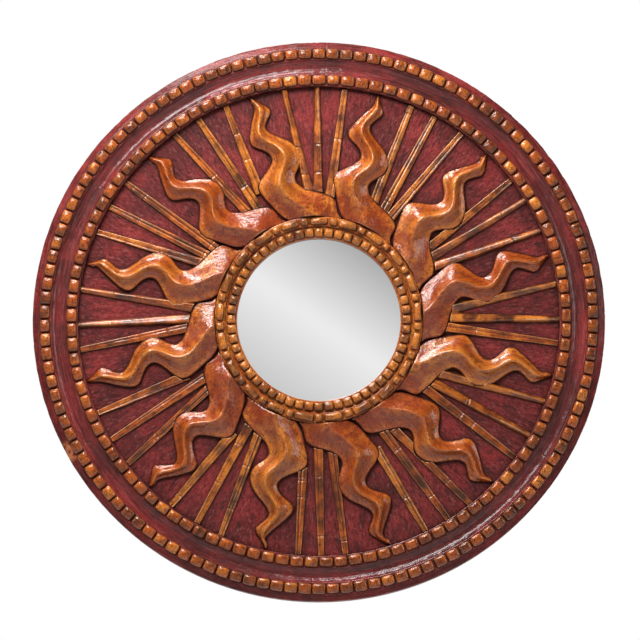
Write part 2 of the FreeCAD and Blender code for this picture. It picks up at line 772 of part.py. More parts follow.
def flame_section(left, right, station):
    """Cross-section of a flame: upright sides, hollow flanks and a narrow crest."""
    across = right.value(station) - left.value(station)
    inset = across * (cells.flame_ray_gap.value / across.Length)
    start = left.value(station) + inset
    end = right.value(station) - inset
    across = end - start
    edge = FRONTWARD * (cells.flame_edge_height.value * between(EDGE_HEIGHT_SHARES, station))
    crest = FRONTWARD * (cells.flame_crest_height.value * between(CREST_HEIGHT_SHARES, station))
    flank = edge + (crest - edge) * FLANK_HOLLOW_SHARE
    ridge = between(CREST_PLACE_SHARES, station)
    flat = min(cells.flame_crest_width.value / 2 / across.Length, CREST_LIMIT_SHARE)
    corners = [
        start,
        start + edge,
        start + across * (ridge / 2) + flank,
        start + across * (ridge - flat) + crest,
        start + across * (ridge + flat) + crest,
        start + across * (ridge + 1) * 0.5 + flank,
        end + edge,
        end,
    ]
    return Part.makePolygon(corners + corners[:1])


def flame_footprint(left, right):
    """The ground a flame covers, as a block that stands through the face and above any ray."""
    last = float(len(CREST_PLACE_SHARES) - 1)
    tip = Part.makeLine(left.value(0), right.value(0))
    tail = Part.makeLine(left.value(last), right.value(last))
    outline = Part.Wire(Part.__sortEdges__([left.toShape(), tail, right.toShape(), tip]))
    reach = FRONTWARD * cells.ray_inner_width.value
    ground = Part.Face(outline)
    ground.translate(reach * -1)
    return ground.extrude(reach * 2)


def make_flames():
    """Twelve carved flames, each a smooth run of cross-sections trimmed round the collar."""
    trim_radius = (collar_radius + cells.flame_collar_gap).value
    trim_height = cells.flame_crest_height.value * 2
    trim = Part.makeCylinder(trim_radius, trim_height, FreeCAD.Vector(0, front_level.value, 0), FRONTWARD)
    footprints = []
    for number, (left, right) in enumerate(flame_edges(), start=1):
        name = f"flame_{number:02d}"
        steps = (len(CREST_PLACE_SHARES) - 1) * STEPS_PER_STATION
        sections = [flame_section(left, right, step / STEPS_PER_STATION) for step in range(steps + 1)]
        flame = add("Part::Feature", name)
        flame.Shape = Part.makeLoft(sections, True, False).cut(trim)
        keep(flame, name)
        footprint = add("Part::Feature", f"{name}_footprint")
        footprint.Shape = flame_footprint(left, right)
        footprints.append(footprint)
    return footprints


def make_rays(footprints):
    """Half-round tapered rays on the panel's face, cut away where a flame lies over them."""
    total = len(RAY_DEGREES)
    for number, trio in enumerate(RAY_DEGREES):
        base = number * FULL_TURN / total
        rods = []
        for place_number, (rim_angle, root_angle) in enumerate(trio, start=1):
            outer_radius = oval_radius((rim_width + cells.ray_end_gap).value, base + rim_angle)
            outer = around(outer_radius, base + rim_angle, front_level.value)
            in_neck = number in NECK_GROUPS and place_number == len(trio)
            inner = field_point(RAY_NECK_SHARE if in_neck else RAY_ROOT_SHARE, base + root_angle)
            along = outer - inner
            rod = add("Part::Cone", f"rod_{number + 1:02d}_{place_number}")
            bind(rod, Radius1=cells.ray_inner_width / 2, Radius2=cells.ray_outer_width / 2)
            rod.Height = along.Length
            rod.Angle = FULL_TURN / 2
            facing = FreeCAD.Rotation(FRONTWARD.cross(along), FRONTWARD, along, "ZYX")
            rod.Placement = FreeCAD.Placement(inner, facing)
            rods.append(rod)
        name = f"rays_{number + 1:02d}"
        trio_rods = group(f"{name}_whole", rods)
        neighbours = group(f"{name}_cuts", [footprints[number], footprints[(number + 1) % total]])
        keep(boolean("Part::Cut", name, trio_rods, neighbours), name)


def make_disc(name, radius, thickness, level):
    body = add("PartDesign::Body", name)
    drawing = new_sketch(body, "XZ_Plane", f"{name}_outline")
    draw_circle(drawing, radius)
    feature = pad(body, f"{name}_pad", drawing, thickness)
    place(body, None, y=level)
    keep(body, name)
    return body, feature


def make_glazing():
    """Glass, felt and backing board, stacked in the panel's hole behind the collar."""
    glass_back = front_level + cells.glass_thickness
    felt_back = glass_back + cells.felt_thickness
    glass, disc = make_disc("mirror_glass", glass_radius, cells.glass_thickness, glass_back)
    dress(glass, "PartDesign::Chamfer", "mirror_glass_bevel", disc, is_round_rim, Size=cells.glass_bevel)
    make_disc("felt_pad", glass_radius, cells.felt_thickness, felt_back)
    make_disc("backing_board", hole_radius - cells.backing_play, backing_thickness, back_level)


def is_round_rim(edge):
    return isinstance(edge.Curve, Part.Circle)


def make_turn_buttons():
    """Flat buttons that turn about their screws to hold or free the backing board."""
    half = cells.button_width / 2
    far = cells.button_reach
    for number, angle in enumerate(BUTTON_ANGLES, start=1):
        name = f"turn_button_{number}"
        body = add("PartDesign::Body", name)
        drawing = new_sketch(body, "XZ_Plane", f"{name}_outline")
        # Two sides and two half rounds, from the pivot towards the middle of the glass.
        outline = [(half, 0), (-half, 0), (-half, half - far), (half, half - far)]
        bends = [(0, (0, half), "DistanceY", 0), (2, (0, -far), "DistanceY", half - far)]
        draw_outline(drawing, outline, bends)
        draw_circle(drawing, cells.pan_shank_radius + cells.pivot_play)
        pad(body, f"{name}_pad", drawing, cells.button_thickness)
        pivot = around((hole_radius + cells.button_margin).value, angle, 0)
        level = back_level + cells.button_play + cells.button_thickness
        body.Placement = FreeCAD.Placement(pivot, turned(angle))
        body.setExpression("Placement.Base.y", level.text)
        keep(body, name)


def make_hangers(screw_holes):
    """Strap hangers on the back, each with a ring that swings in its knuckle."""
    knuckle_level = back_level + cells.strap_knuckle_radius
    sideways = FreeCAD.Rotation(Y_AXIS, 90)
    for side_name, side in SIDES:
        x = hanger_spread / 2 * side
        z = cells.hanger_height
        plate = add("Part::Box", f"strap_{side_name}_plate")
        bind(plate, Length=cells.strap_width, Width=cells.strap_thickness, Height=cells.strap_length)
        place(plate, None, x - cells.strap_width / 2, back_level, z - cells.strap_length)
        knuckle = add("Part::Cylinder", f"strap_{side_name}_knuckle")
        bind(knuckle, Radius=cells.strap_knuckle_radius, Height=cells.strap_width)
        place(knuckle, sideways, x - cells.strap_width / 2, knuckle_level, z)
        bore = add("Part::Cylinder", f"strap_{side_name}_bore")
        bind(bore, Radius=cells.ring_wire_radius + cells.ring_play, Height=cells.strap_width)
        place(bore, sideways, x - cells.strap_width / 2, knuckle_level, z)
        joined = boolean("Part::Fuse", f"strap_{side_name}_joined", plate, knuckle)
        bored = boolean("Part::Cut", f"strap_{side_name}_bored", joined, bore)
        name = f"hanger_strap_{side_name}"
        keep(boolean("Part::Cut", name, bored, screw_holes), name)
        make_ring(f"hanger_ring_{side_name}", x, knuckle_level, z)


def make_ring(name, x, y, z):
    """A D-shaped ring: bar through the knuckle, two corners, two arms and a half-round top."""
    wire = cells.ring_wire_radius
    bend = cells.ring_bend
    reach = cells.ring_half_width
    bar = add("Part::Cylinder", f"{name}_bar")
    bind(bar, Radius=wire, Height=(reach - bend) * 2)
    place(bar, FreeCAD.Rotation(Y_AXIS, 90), x - reach + bend, y, z)
    top = add("Part::Torus", f"{name}_top")
    bind(top, Radius1=reach, Radius2=wire)
    top.Angle3 = FULL_TURN / 2
    place(top, UPRIGHT, x, y, z + bend + cells.ring_arm)
    pieces = [bar, top]
    # Corner bends open over a quarter turn, the right one from straight down.
    for side_name, side, start in (("left", -1, 180), ("right", 1, 270)):
        arm = add("Part::Cylinder", f"{name}_arm_{side_name}")
        bind(arm, Radius=wire, Height=cells.ring_arm)
        place(arm, None, x + reach * side, y, z + bend)
        corner = add("Part::Torus", f"{name}_corner_{side_name}")
        bind(corner, Radius1=bend, Radius2=wire)
        corner.Angle3 = FULL_TURN / 4
        spin = UPRIGHT.multiply(FreeCAD.Rotation(FreeCAD.Vector(0, 0, 1), start))
        place(corner, spin, x + (reach - bend) * side, y, z + bend)
        pieces += [arm, corner]
    ring = add("Part::MultiFuse", name)
    ring.Shapes = pieces
    keep(ring, name)


def check_objects():
    """Stop before anything is written if any object failed."""
    for item in document.Objects:
        if "Invalid" in item.State or "Error" in item.State:
            raise RuntimeError(f"{item.Label}: {item.State}")
    for item in nodes:
        if item.Shape.isNull() or not item.Shape.isValid() or not item.Shape.Solids:
            raise RuntimeError(f"{item.Label}: bad shape")


def export_nodes():
    os.makedirs("parts", exist_ok=True)
    for item in nodes:
        item.Shape.exportStep(f"parts/{item.Label}.step")


def build():
    screw_holes = make_screws()
    make_planks(screw_holes)
    make_battens(screw_holes)
    make_rim(screw_holes)
    make_oval_row(
        "outer_beads",
        cells.outer_bead_count,
        cells.outer_bead_width,
        outer_row_inset,
        cells.outer_seat_height,
    )
    make_oval_row(
        "inner_beads",
        cells.inner_bead_count,
        cells.inner_bead_width,
        inner_row_inset,
        cells.inner_seat_height,
    )
    make_collar()
    make_rays(make_flames())
    make_glazing()
    make_turn_buttons()
    make_hangers(screw_holes)
    document.recompute()
    check_objects()
    export_nodes()


build()
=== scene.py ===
"""Looks of the carved sunburst wall mirror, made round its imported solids.

Lengths are metres in the part's own frame: +Z is up, the glass faces -Y and the wall lies at y = 0. Angles
round the panel are degrees clockwise from the top, seen from the front.
"""
import math
import random

import bmesh
import bpy
import numpy as np
from bpy.props import FloatProperty, FloatVectorProperty, IntProperty, PointerProperty
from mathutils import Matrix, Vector, noise
from mathutils.kdtree import KDTree


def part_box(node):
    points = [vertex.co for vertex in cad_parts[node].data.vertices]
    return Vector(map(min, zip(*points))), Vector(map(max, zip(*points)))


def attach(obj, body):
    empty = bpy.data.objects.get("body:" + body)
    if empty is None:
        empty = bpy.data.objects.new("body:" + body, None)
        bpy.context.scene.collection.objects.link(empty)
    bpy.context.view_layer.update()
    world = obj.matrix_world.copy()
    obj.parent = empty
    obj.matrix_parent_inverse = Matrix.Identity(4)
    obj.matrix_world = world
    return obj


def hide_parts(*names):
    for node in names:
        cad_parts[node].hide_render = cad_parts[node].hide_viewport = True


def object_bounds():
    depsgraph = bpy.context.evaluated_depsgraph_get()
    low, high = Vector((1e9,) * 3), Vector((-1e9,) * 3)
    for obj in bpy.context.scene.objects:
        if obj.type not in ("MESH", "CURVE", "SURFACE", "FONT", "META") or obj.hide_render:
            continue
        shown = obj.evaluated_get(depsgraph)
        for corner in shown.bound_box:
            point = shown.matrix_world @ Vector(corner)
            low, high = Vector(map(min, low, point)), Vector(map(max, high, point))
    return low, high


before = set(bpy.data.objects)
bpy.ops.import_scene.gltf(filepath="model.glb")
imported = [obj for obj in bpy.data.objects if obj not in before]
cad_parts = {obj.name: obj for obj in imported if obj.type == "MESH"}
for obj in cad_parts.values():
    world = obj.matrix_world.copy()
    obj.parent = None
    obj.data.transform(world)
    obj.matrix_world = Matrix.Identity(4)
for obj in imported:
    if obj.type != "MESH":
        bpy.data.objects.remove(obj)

bl_info = {
    "name": "Sunburst Mirror",
    "version": (1, 0, 0),
    "blender": (4, 5, 0),
    "location": "3D View > Sidebar > Sunburst",
    "description": "Carves, gilds and lights the sunburst wall mirror",
    "category": "Object",
}


def numbered(stem, count, digits=1):
    """Names of a group of like nodes."""
    return [f"{stem}_{number:0{digits}d}" for number in range(1, count + 1)]


CAD_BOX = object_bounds()
BODY = "mirror"
FLAMES = numbered("flame", 12, digits=2)
RAYS = numbered("rays", 12, digits=2)
FELLOES = numbered("rim_felloe", 6)
PLANKS = numbered("plank", 4)
BUTTONS = numbered("turn_button", 4)
SCREWS = ["turn_button_screws", "hanger_screws", "batten_screws", "rim_screws"]
SIDES = ("left", "right")

PANEL_LOW, PANEL_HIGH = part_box("plank_2")
FACE = PANEL_LOW.y
PANEL_BACK = PANEL_HIGH.y
HALF_WIDTH = CAD_BOX[1].x
HALF_HEIGHT = CAD_BOX[1].z
MM = 0.001

# How far an edge stands out where it counts fully as a crest, for rubbing, and on the gilding also for painted
# highlight.
WEAR_HEIGHT = {"rim": 0.9 * MM, "collar": 0.7 * MM, "flame": 0.42 * MM, "ray": 0.34 * MM}
# Starts of the chance unevenness of each group of pieces.
SEEDS = {"rim": 8, "edge_rub": 9, "edge_nicks": 12, "collar": 21, "flame": 30, "ray": 60, "block": 3}
TOOL_SEED_STEP = 50


def length(name, description, default):
    return FloatProperty(name=name, description=description, default=default, unit="LENGTH", precision=5)


def share(name, description, default):
    return FloatProperty(name=name, description=description, default=default, min=0.0, max=1.0, subtype="FACTOR")


def number(name, description, default):
    return FloatProperty(name=name, description=description, default=default)


def colour(name, description, default):
    return FloatVectorProperty(
        name=name, description=description, default=default, size=3, min=0.0, max=1.0, subtype="COLOR"
    )


class CarvingSizes(bpy.types.PropertyGroup):
    """How finely and how unevenly the carving is cut."""

    flame_mesh: length("Flame mesh", "Size of the mesh over the flames", 1.0 * MM)
    ray_mesh: length("Ray mesh", "Size of the mesh over the rays", 0.7 * MM)
    side_height: length("Side height", "Upright side of a flame above the panel", 5 * MM)
    flank_slope: share("Flank slope", "Rise of a flank from its edge over its width", 0.98)
    flank_reach: length("Flank reach", "Width at which a flank flattens out", 26 * MM)
    flank_hollow: share("Flank hollow", "How hollow a flank is cut", 0.65)
    root_height: share("Root height", "Rise of a flank beside the collar over the rise elsewhere", 0.6)
    root_reach: length("Root reach", "Distance from the collar over which that rise comes back", 60 * MM)
    soften: IntProperty(name="Soften", description="Passes that round the crests of the flames", default=16)
    tip_reach: length("Tip reach", "Last stretch of a flame that is drawn in", 11 * MM)
    tip_draw: share("Tip draw", "How far the tip itself is drawn in", 0.62)
    hand_depth: length("Hand depth", "Unevenness of a hand-cut surface", 0.45 * MM)
    hand_spread: length("Hand spread", "Distance between the swells of that unevenness", 15 * MM)
    tool_depth: length("Tool depth", "Small marks of the gouge", 0.14 * MM)
    tool_spread: length("Tool spread", "Distance between those marks", 3.4 * MM)
    wear_reach: IntProperty(name="Wear reach", description="Passes over which edges and hollows are felt", default=5)
    ray_spread: share("Ray spread", "How much wider a carved ray is than its packed rod", 0.28)
    ray_groove: share("Ray groove", "Depth of the groove along a ray, over its height", 0.34)
    ray_bevel: share("Ray bevel", "Sloped edge of a ray, over its half width", 0.22)
    nick_depth: share("Nick depth", "Depth of a nick across a ray, over its height", 0.3)
    nick_width: length("Nick width", "Half width of a nick", 1.3 * MM)


class RimSizes(bpy.types.PropertyGroup):
    """Section of the rim and the collar."""

    lip_width: length("Lip", "Sloped lip outside the outer blocks", 8.5 * MM)
    lip_height: length("Lip height", "Upright outer edge", 7 * MM)
    outer_seat_width: length("Outer seat", "Flat under the outer blocks", 16 * MM)
    outer_seat_height: length("Outer seat height", "That flat above the panel", 12 * MM)
    cove_width: length("Cove", "Hollow between the rows of blocks", 19 * MM)
    cove_round: length("Cove radius", "Radius of the hollow", 12.54 * MM)
    inner_seat_width: length("Inner seat", "Flat under the inner blocks", 16.5 * MM)
    inner_seat_height: length("Inner seat height", "That flat above the panel", 9.5 * MM)
    first_joint: number("First joint", "Angle of the first joint between rim pieces, in degrees", 1.5)
    joint_gap: length("Joint gap", "Open line at each end of a rim piece", 0.05 * MM)
    joint_ease: number("Joint ease", "Width of the worn edge at each end, in degrees", 0.13)
    joint_depth: length("Joint depth", "Depth of that wear", 0.22 * MM)
    steps: IntProperty(name="Steps", description="Sections along one rim piece", default=220)
    edge_wear: length("Edge wear", "Deepest wear along the outer edge", 1.1 * MM)
    sight_radius: length("Sight", "Opening in front of the glass", 109 * MM)
    collar_inner_width: length("Collar step", "Seat of the small collar blocks", 16 * MM)
    collar_inner_height: length("Collar step height", "That seat above the panel", 6 * MM)
    collar_outer_width: length("Collar top", "Seat of the long collar bars", 13.5 * MM)
    collar_outer_height: length("Collar top height", "That seat above the panel", 8.5 * MM)
    collar_steps: IntProperty(name="Collar steps", description="Sections round the collar", default=420)


class BlockSizes(bpy.types.PropertyGroup):
    """How far the carved blocks differ from one another."""

    size_spread: share("Size spread", "Difference in length, width and height", 0.07)
    turn_spread: number("Turn spread", "Difference in direction, in degrees", 3.5)
    lean_spread: share("Lean spread", "Slope of a block's top over its height", 0.16)
    squareness: number("Squareness", "How square a block is, seen from the front", 4.6)
    crown: number("Crown", "How flat a block's top is", 2.35)
    stretch: number("Stretch", "Length of a block over the packed one", 1.11)
    cells: IntProperty(name="Cells", description="Mesh cells along a block", default=10)
    hand_depth: length("Hand depth", "Unevenness of a block", 0.28 * MM)
    seed: IntProperty(name="Seed", description="Start of the chance differences", default=41)


class FinishColours(bpy.types.PropertyGroup):
    """Colours of the paint, gilding, wood and metal."""

    field: colour("Field", "Burgundy paint of the panel", (0.108, 0.012, 0.012))
    streak: colour("Streak", "Redder patches", (0.218, 0.021, 0.020))
    bloom: colour("Bloom", "Greyer strokes of old varnish", (0.235, 0.080, 0.070))
    # Shade is also laid on as painted shade in the recesses beside the pieces, on the paint, the boards and the
    # metal.
    shade: colour("Shade", "Dark strokes and grime", (0.030, 0.0065, 0.0045))
    copper: colour("Copper", "Copper of the gilding", (0.40, 0.080, 0.006))
    gold: colour("Gold", "Golden parts of the gilding", (0.565, 0.170, 0.018))
    # Bole is also laid on the flames' flanks, edges and sides and low in the blocks' gaps as painted shade.
    bole: colour("Bole", "Red clay under the gilding", (0.215, 0.025, 0.004))
    # Antique is also laid on as painted shade: down the flames' sides, along their edges and feet, low in the blocks'
    # gaps and between pieces.
    antique: colour("Antique", "Dark wash in the hollows", (0.036, 0.009, 0.003))
    # Worn is also laid on the gilding's crests and edges as painted highlight, besides real rubbing.
    worn: colour("Worn", "Rubbed edges", (0.78, 0.46, 0.22))
    raw: colour("Raw wood", "Fresh wood in a chip", (0.62, 0.19, 0.07))
    board: colour("Board", "Bare boards behind", (0.36, 0.215, 0.115))
    board_dark: colour("Dark grain", "Late wood and dirt in the boards", (0.17, 0.088, 0.042))
    plywood: colour("Plywood", "Backing board", (0.50, 0.335, 0.185))
    felt: colour("Felt", "Pad behind the glass", (0.045, 0.045, 0.045))
    lint: colour("Lint", "Paler hairs of the felt", (0.10, 0.10, 0.10))
    silver: colour("Silver", "Silvering of the glass", (0.90, 0.905, 0.90))
    glass_edge: colour("Glass edge", "Ground edge of the glass", (0.30, 0.38, 0.34))
    glass_back: colour("Glass back", "Paint behind the silvering", (0.20, 0.13, 0.10))
    brass: colour("Brass", "Turn buttons", (0.60, 0.43, 0.17))
    brass_dull: colour("Dull brass", "Tarnish on the turn buttons", (0.26, 0.16, 0.06))
    zinc: colour("Zinc", "Hangers and screws", (0.52, 0.52, 0.50))
    zinc_dull: colour("Dull zinc", "Tarnish on the hangers and screws", (0.24, 0.23, 0.21))


class StudioSettings(bpy.types.PropertyGroup):
    """Camera, light and floor."""

    distance: length("Distance", "Camera from the middle of the mirror", 5.0)
    rise: number("Rise", "Camera's angle above the mirror, in degrees", -7.0)
    frame_width: length("Frame", "Width of the picture at the mirror", 0.8525)
    aim: FloatVectorProperty(
        name="Aim", description="Point in the middle of the picture", default=(0.0015, -0.040, -0.0004), subtype="XYZ"
    )
    key: number("Key", "Soft lamp in front and above, in watts", 24.0)
    top: number("Top", "Strip lamp high above, in watts", 29.0)
    left: number("Left", "Weak lamp on the left, in watts", 4.0)
    right: number("Right", "Lamp on the right, in watts", 13.0)
    front: number("Front", "Broad weak lamp low in front, in watts", 2.4)
    room: number("Room", "Even light in front of the mirror", 0.07)
    behind: number("Behind", "Even light behind the mirror", 0.75)
    walls: number("Walls", "Grey walls that glass, metal and varnish face", 0.42)
    backdrop: number("Backdrop", "White of the background", 1.0)
    card: number("Card", "Pale card that the glass faces", 0.92)
    dusk: number("Dusk", "How much greyer the card grows away from its middle", 0.48)
    floor_drop: length("Floor", "Floor below the middle of the mirror", 1.55)
    floor: colour("Floor colour", "Pale floor", (0.80, 0.80, 0.80))
    glow: share("Floor glow", "How far the floor is pale without the lamps", 0.58)


class SunburstSettings(bpy.types.PropertyGroup):
    """Everything that can be changed."""

    carving: PointerProperty(type=CarvingSizes)
    rim: PointerProperty(type=RimSizes)
    blocks: PointerProperty(type=BlockSizes)
    colours: PointerProperty(type=FinishColours)
    studio: PointerProperty(type=StudioSettings)


def settings():
    return bpy.context.scene.sunburst


def maths(operation, swapped=False):
    """A method of Value that adds one Math node."""

    def method(self, other):
        first, second = (other, self) if swapped else (self, other)
        return self.nodes.node("ShaderNodeMath", {"operation": operation}, {0: first, 1: second})

    return method


class Value:
    """A number that varies over a surface: a socket with arithmetic."""

    __add__ = maths("ADD")
    __radd__ = maths("ADD", swapped=True)
    __sub__ = maths("SUBTRACT")
    __rsub__ = maths("SUBTRACT", swapped=True)
    __mul__ = maths("MULTIPLY")
    __rmul__ = maths("MULTIPLY", swapped=True)
    __truediv__ = maths("DIVIDE")
    __rtruediv__ = maths("DIVIDE", swapped=True)
    __pow__ = maths("POWER")
    __rpow__ = maths("POWER", swapped=True)
    most = maths("MAXIMUM")
    least = maths("MINIMUM")

    def __init__(self, nodes, socket):
        self.nodes = nodes
        self.socket = socket

    def step(self, low, high):
        """0 up to low, 1 from high on, and smooth between."""
        kind = {"interpolation_type": "SMOOTHSTEP"}
        return self.nodes.node("ShaderNodeMapRange", kind, {"Value": self, "From Min": low, "From Max": high})


class Nodes:
    """A node tree under construction."""

    def __init__(self, tree):
        self.tree = tree

    def node(self, kind, settings=None, inputs=None, output=0):
        """Add a node, set it up, feed its sockets and give one of its outputs."""
        made = self.tree.nodes.new(kind)
        for name, value in (settings or {}).items():
            setattr(made, name, value)
        for name, value in (inputs or {}).items():
            self.feed(made.inputs[name], value)
        return Value(self, made.outputs[output])

    def feed(self, socket, value):
        if isinstance(value, Value):
            self.tree.links.new(value.socket, socket)
        elif socket.type == "RGBA":
            socket.default_value = (*value, 1.0)
        else:
            socket.default_value = value

    def outputs(self, kind, inputs=None, names=(0, 1, 2)):
        """Several outputs of one node."""
        made = self.node(kind, inputs=inputs).socket.node
        return [Value(self, made.outputs[name]) for name in names]


class Finish(Nodes):
    """A material under construction."""

    def __init__(self, name):
        self.material = bpy.data.materials.new(name)
        self.material.use_nodes = True
        super().__init__(self.material.node_tree)
        self.shader = self.tree.nodes["Principled BSDF"]
        self.spot = self.node("ShaderNodeTexCoord", output="Object")
        self.x, self.y, self.z = self.outputs("ShaderNodeSeparateXYZ", {0: self.spot})
        self.radius = (self.x * self.x + self.z * self.z) ** 0.5

    def noise(self, vector, scale, detail=3.0, rough=0.55, distortion=0.0):
        sockets = {"Vector": vector, "Scale": scale, "Detail": detail, "Roughness": rough, "Distortion": distortion}
        return self.node("ShaderNodeTexNoise", {"noise_dimensions": "3D"}, sockets)

    def specks(self, vector, scale):
        """Distance from the nearest of many scattered points."""
        return self.node("ShaderNodeTexVoronoi", {"feature": "F1"}, {"Vector": vector, "Scale": scale})

    def stretch(self, x, y, z):
        """The surface's place, scaled along each axis."""
        return self.node("ShaderNodeVectorMath", {"operation": "MULTIPLY"}, {0: self.spot, 1: (x, y, z)})

    def polar(self, around, outward):
        """The surface's place in turns round the middle and distance from it, scaled along each."""
        sockets = {0: self.x / self.radius * around, 1: self.z / self.radius * around, 2: self.radius * outward}
        return self.node("ShaderNodeCombineXYZ", inputs=sockets)

    def mix(self, factor, first, second):
        kind = {"data_type": "RGBA", "clamp_factor": True}
        return self.node("ShaderNodeMix", kind, {0: factor, 6: first, 7: second}, output=2)

    def attribute(self, name):
        return self.node("ShaderNodeAttribute", {"attribute_name": name}, output="Fac")

    def recess(self, reach):
        """1 deep between pieces, 0 in the open."""
        sockets = {"Distance": reach}
        return 1.0 - self.node("ShaderNodeAmbientOcclusion", {"samples": 6}, sockets, output="AO")

    def near(self, point, reach):
        """1 at a point, falling to 0 at a distance from it."""
        gap = self.node("ShaderNodeVectorMath", {"operation": "DISTANCE"}, {0: self.spot, 1: point}, output="Value")
        return 1.0 - gap.step(reach * 0.4, reach)

    def bump(self, height, distance, strength):
        sockets = {"Height": height, "Distance": distance, "Strength": strength}
        return self.node("ShaderNodeBump", inputs=sockets, output="Normal")

    def finish(self, **sockets):
        for name, value in sockets.items():
            self.feed(self.shader.inputs[name.replace("_", " ")], value)
        return self.material


# The chip in the rim's outer edge: where it is, how wide and deep it is cut, and how far its raw wood shows.
CHIP_ANGLE = math.radians(241.5)
CHIP_REACH = 0.985
CHIP_WIDTH = 11 * MM
CHIP_DEPTH = 2.5 * MM
CHIP_STAIN = 17 * MM
CHIP = (
    HALF_WIDTH * CHIP_REACH * math.sin(CHIP_ANGLE),
    FACE - 8 * MM,
    HALF_HEIGHT * CHIP_REACH * math.cos(CHIP_ANGLE),
)
# Where the duller lip begins, as a squared share of the oval, and between which depths the boards turn bare.
LIP_START = (0.945, 0.96)
BARE_BACK = (PANEL_BACK - 1.2 * MM, PANEL_BACK - 0.4 * MM)
SEAM_HALF_WIDTH = (0.3 * MM, 1.1 * MM)
# Radii between which the glass turns to its ground edge, and depths between which it turns to its painted back.
GLASS_EDGE = (112.6 * MM, 114.2 * MM)
GLASS_BACK = (FACE + 3.2 * MM, FACE + 3.8 * MM)
# Radii between which the flames' red roots end.
ROOT_END = (0.140, 0.200)


def painted_red(name, stroke, shine, seams=(), worn_edge=False):
    """Burgundy paint in brush strokes under a varnish. Boards are bare behind, with joints at the seams' heights."""
    paint = Finish(name)
    tone = settings().colours
    around, outward = stroke
    strokes = paint.noise(paint.polar(around, outward), 1.0, 4.0, 0.65, 0.8)
    fine = paint.noise(paint.polar(around * 2.6, outward * 3.6), 1.0, 3.0, 0.65, 0.6)
    patches = paint.noise(paint.spot, 17.0, 5.0, 0.62, 0.5)
    pits = paint.noise(paint.spot, 300.0, 3.0, 0.65)
    base = paint.mix(patches.step(0.40, 0.62), tone.field, tone.streak)
    for texture, limit, blur, weight in (
        (pits, 0.46, 0.12, 0.55),
        (strokes, 0.52, 0.20, 0.8),
        (fine, 0.48, 0.14, 0.65),
    ):
        base = paint.mix((limit - texture).step(0.0, blur) * weight, base, tone.shade)
    base = paint.mix((fine - 0.53).step(0.0, 0.15) * 0.5, base, tone.bloom)
    # Painted shade: the paint is darkened in the recesses beside the pieces standing on it, and its varnish is
    # thinner there.
    grime_and_shade = paint.recess(9 * MM)
    base = paint.mix(grime_and_shade.step(0.14, 0.6) * 0.92, base, tone.shade)
    gloss = 1.0 - grime_and_shade.step(0.1, 0.6)
    if worn_edge:
        lip = (paint.x * paint.x / HALF_WIDTH**2 + paint.z * paint.z / HALF_HEIGHT**2).step(*LIP_START)
        gloss = gloss * (1.0 - 0.68 * lip)
        chipped = paint.attribute("crest") * paint.noise(paint.spot, 95.0, 3.0).step(0.46, 0.62)
        base = paint.mix(chipped * 0.8, base, tone.raw)
        broken = paint.near(CHIP, CHIP_STAIN) * paint.noise(paint.spot, 130.0).step(0.38, 0.5)
        base = paint.mix(broken, base, tone.raw)
    relief = strokes * 0.6 + fine * 0.7 + pits
    rough = 0.34 + 0.2 * fine
    if seams:
        bare = paint.y.step(*BARE_BACK)
        number = sum(paint.z.step(seam - 0.1 * MM, seam + 0.1 * MM) for seam in seams)
        wood, ridges = bare_wood(paint, tone.board, tone.board_dark, "x", number)
        base = paint.mix(bare, base, wood)
        for seam in seams:
            gap = (paint.z - seam) * (paint.z - seam)
            joint = 1.0 - gap.step(*(width**2 for width in SEAM_HALF_WIDTH))
            base = paint.mix(joint * (0.3 + 0.6 * bare), base, tone.shade)
        relief = relief * (1.0 - bare) + ridges * bare
        gloss = gloss * (1.0 - bare)
        rough = rough + (0.75 - rough) * bare
    normal = paint.bump(relief, 1.5 * MM, 0.9)
    return paint.finish(
        Base_Color=base, Roughness=rough, Normal=normal, Specular_IOR_Level=0.06, Coat_Weight=gloss * shine,
        Coat_Roughness=0.22
    )


def bare_wood(wood, light, dark, along, number=None):
    """Colour and relief of old sawn boards, with the grain along one axis, and its own in each numbered board."""

    def drawn_out(run, cross):
        return wood.stretch(run, cross, cross) if along == "x" else wood.stretch(cross, cross, run)

    vector = drawn_out(5.0, 95.0)
    if number:
        shift = wood.node("ShaderNodeCombineXYZ", inputs={0: number * 17.3, 1: number * 9.1})
        vector = wood.node("ShaderNodeVectorMath", {"operation": "ADD"}, {0: vector, 1: shift})
        light = wood.mix((wood.noise(shift, 1.0) - 0.4).step(0.0, 0.25) * 0.45, light, dark)
    grain = wood.noise(vector, 1.0, 5.0, 0.62, 0.9)
    fibre = wood.noise(vector, 5.0, 3.0, 0.6)
    stain = wood.noise(wood.spot, 9.0, 4.0, 0.6)
    base = wood.mix(grain.step(0.38, 0.66), light, dark)
    for texture, blur, weight in ((fibre, 0.2, 0.45), (stain, 0.25, 0.5)):
        base = wood.mix((texture - 0.5).step(0.0, blur) * weight, base, dark)
    saw = wood.noise(drawn_out(260.0, 8.0), 1.0, 2.0)
    return base, grain * 0.5 + fibre * 0.4 + saw * 0.25


def raw_board(name, light, dark, along):
    wood = Finish(name)
    base, ridges = bare_wood(wood, light, dark, along)
    # Painted shade: the bare wood is darkened in the recesses beside the pieces next to it.
    grime_and_shade = wood.recess(6 * MM)
    base = wood.mix(grime_and_shade.step(0.3, 0.9) * 0.6, base, settings().colours.shade)
    rough = 0.68 + 0.2 * wood.noise(wood.spot, 60.0)
    return wood.finish(Base_Color=base, Roughness=rough, Normal=wood.bump(ridges, 0.6 * MM, 0.5))


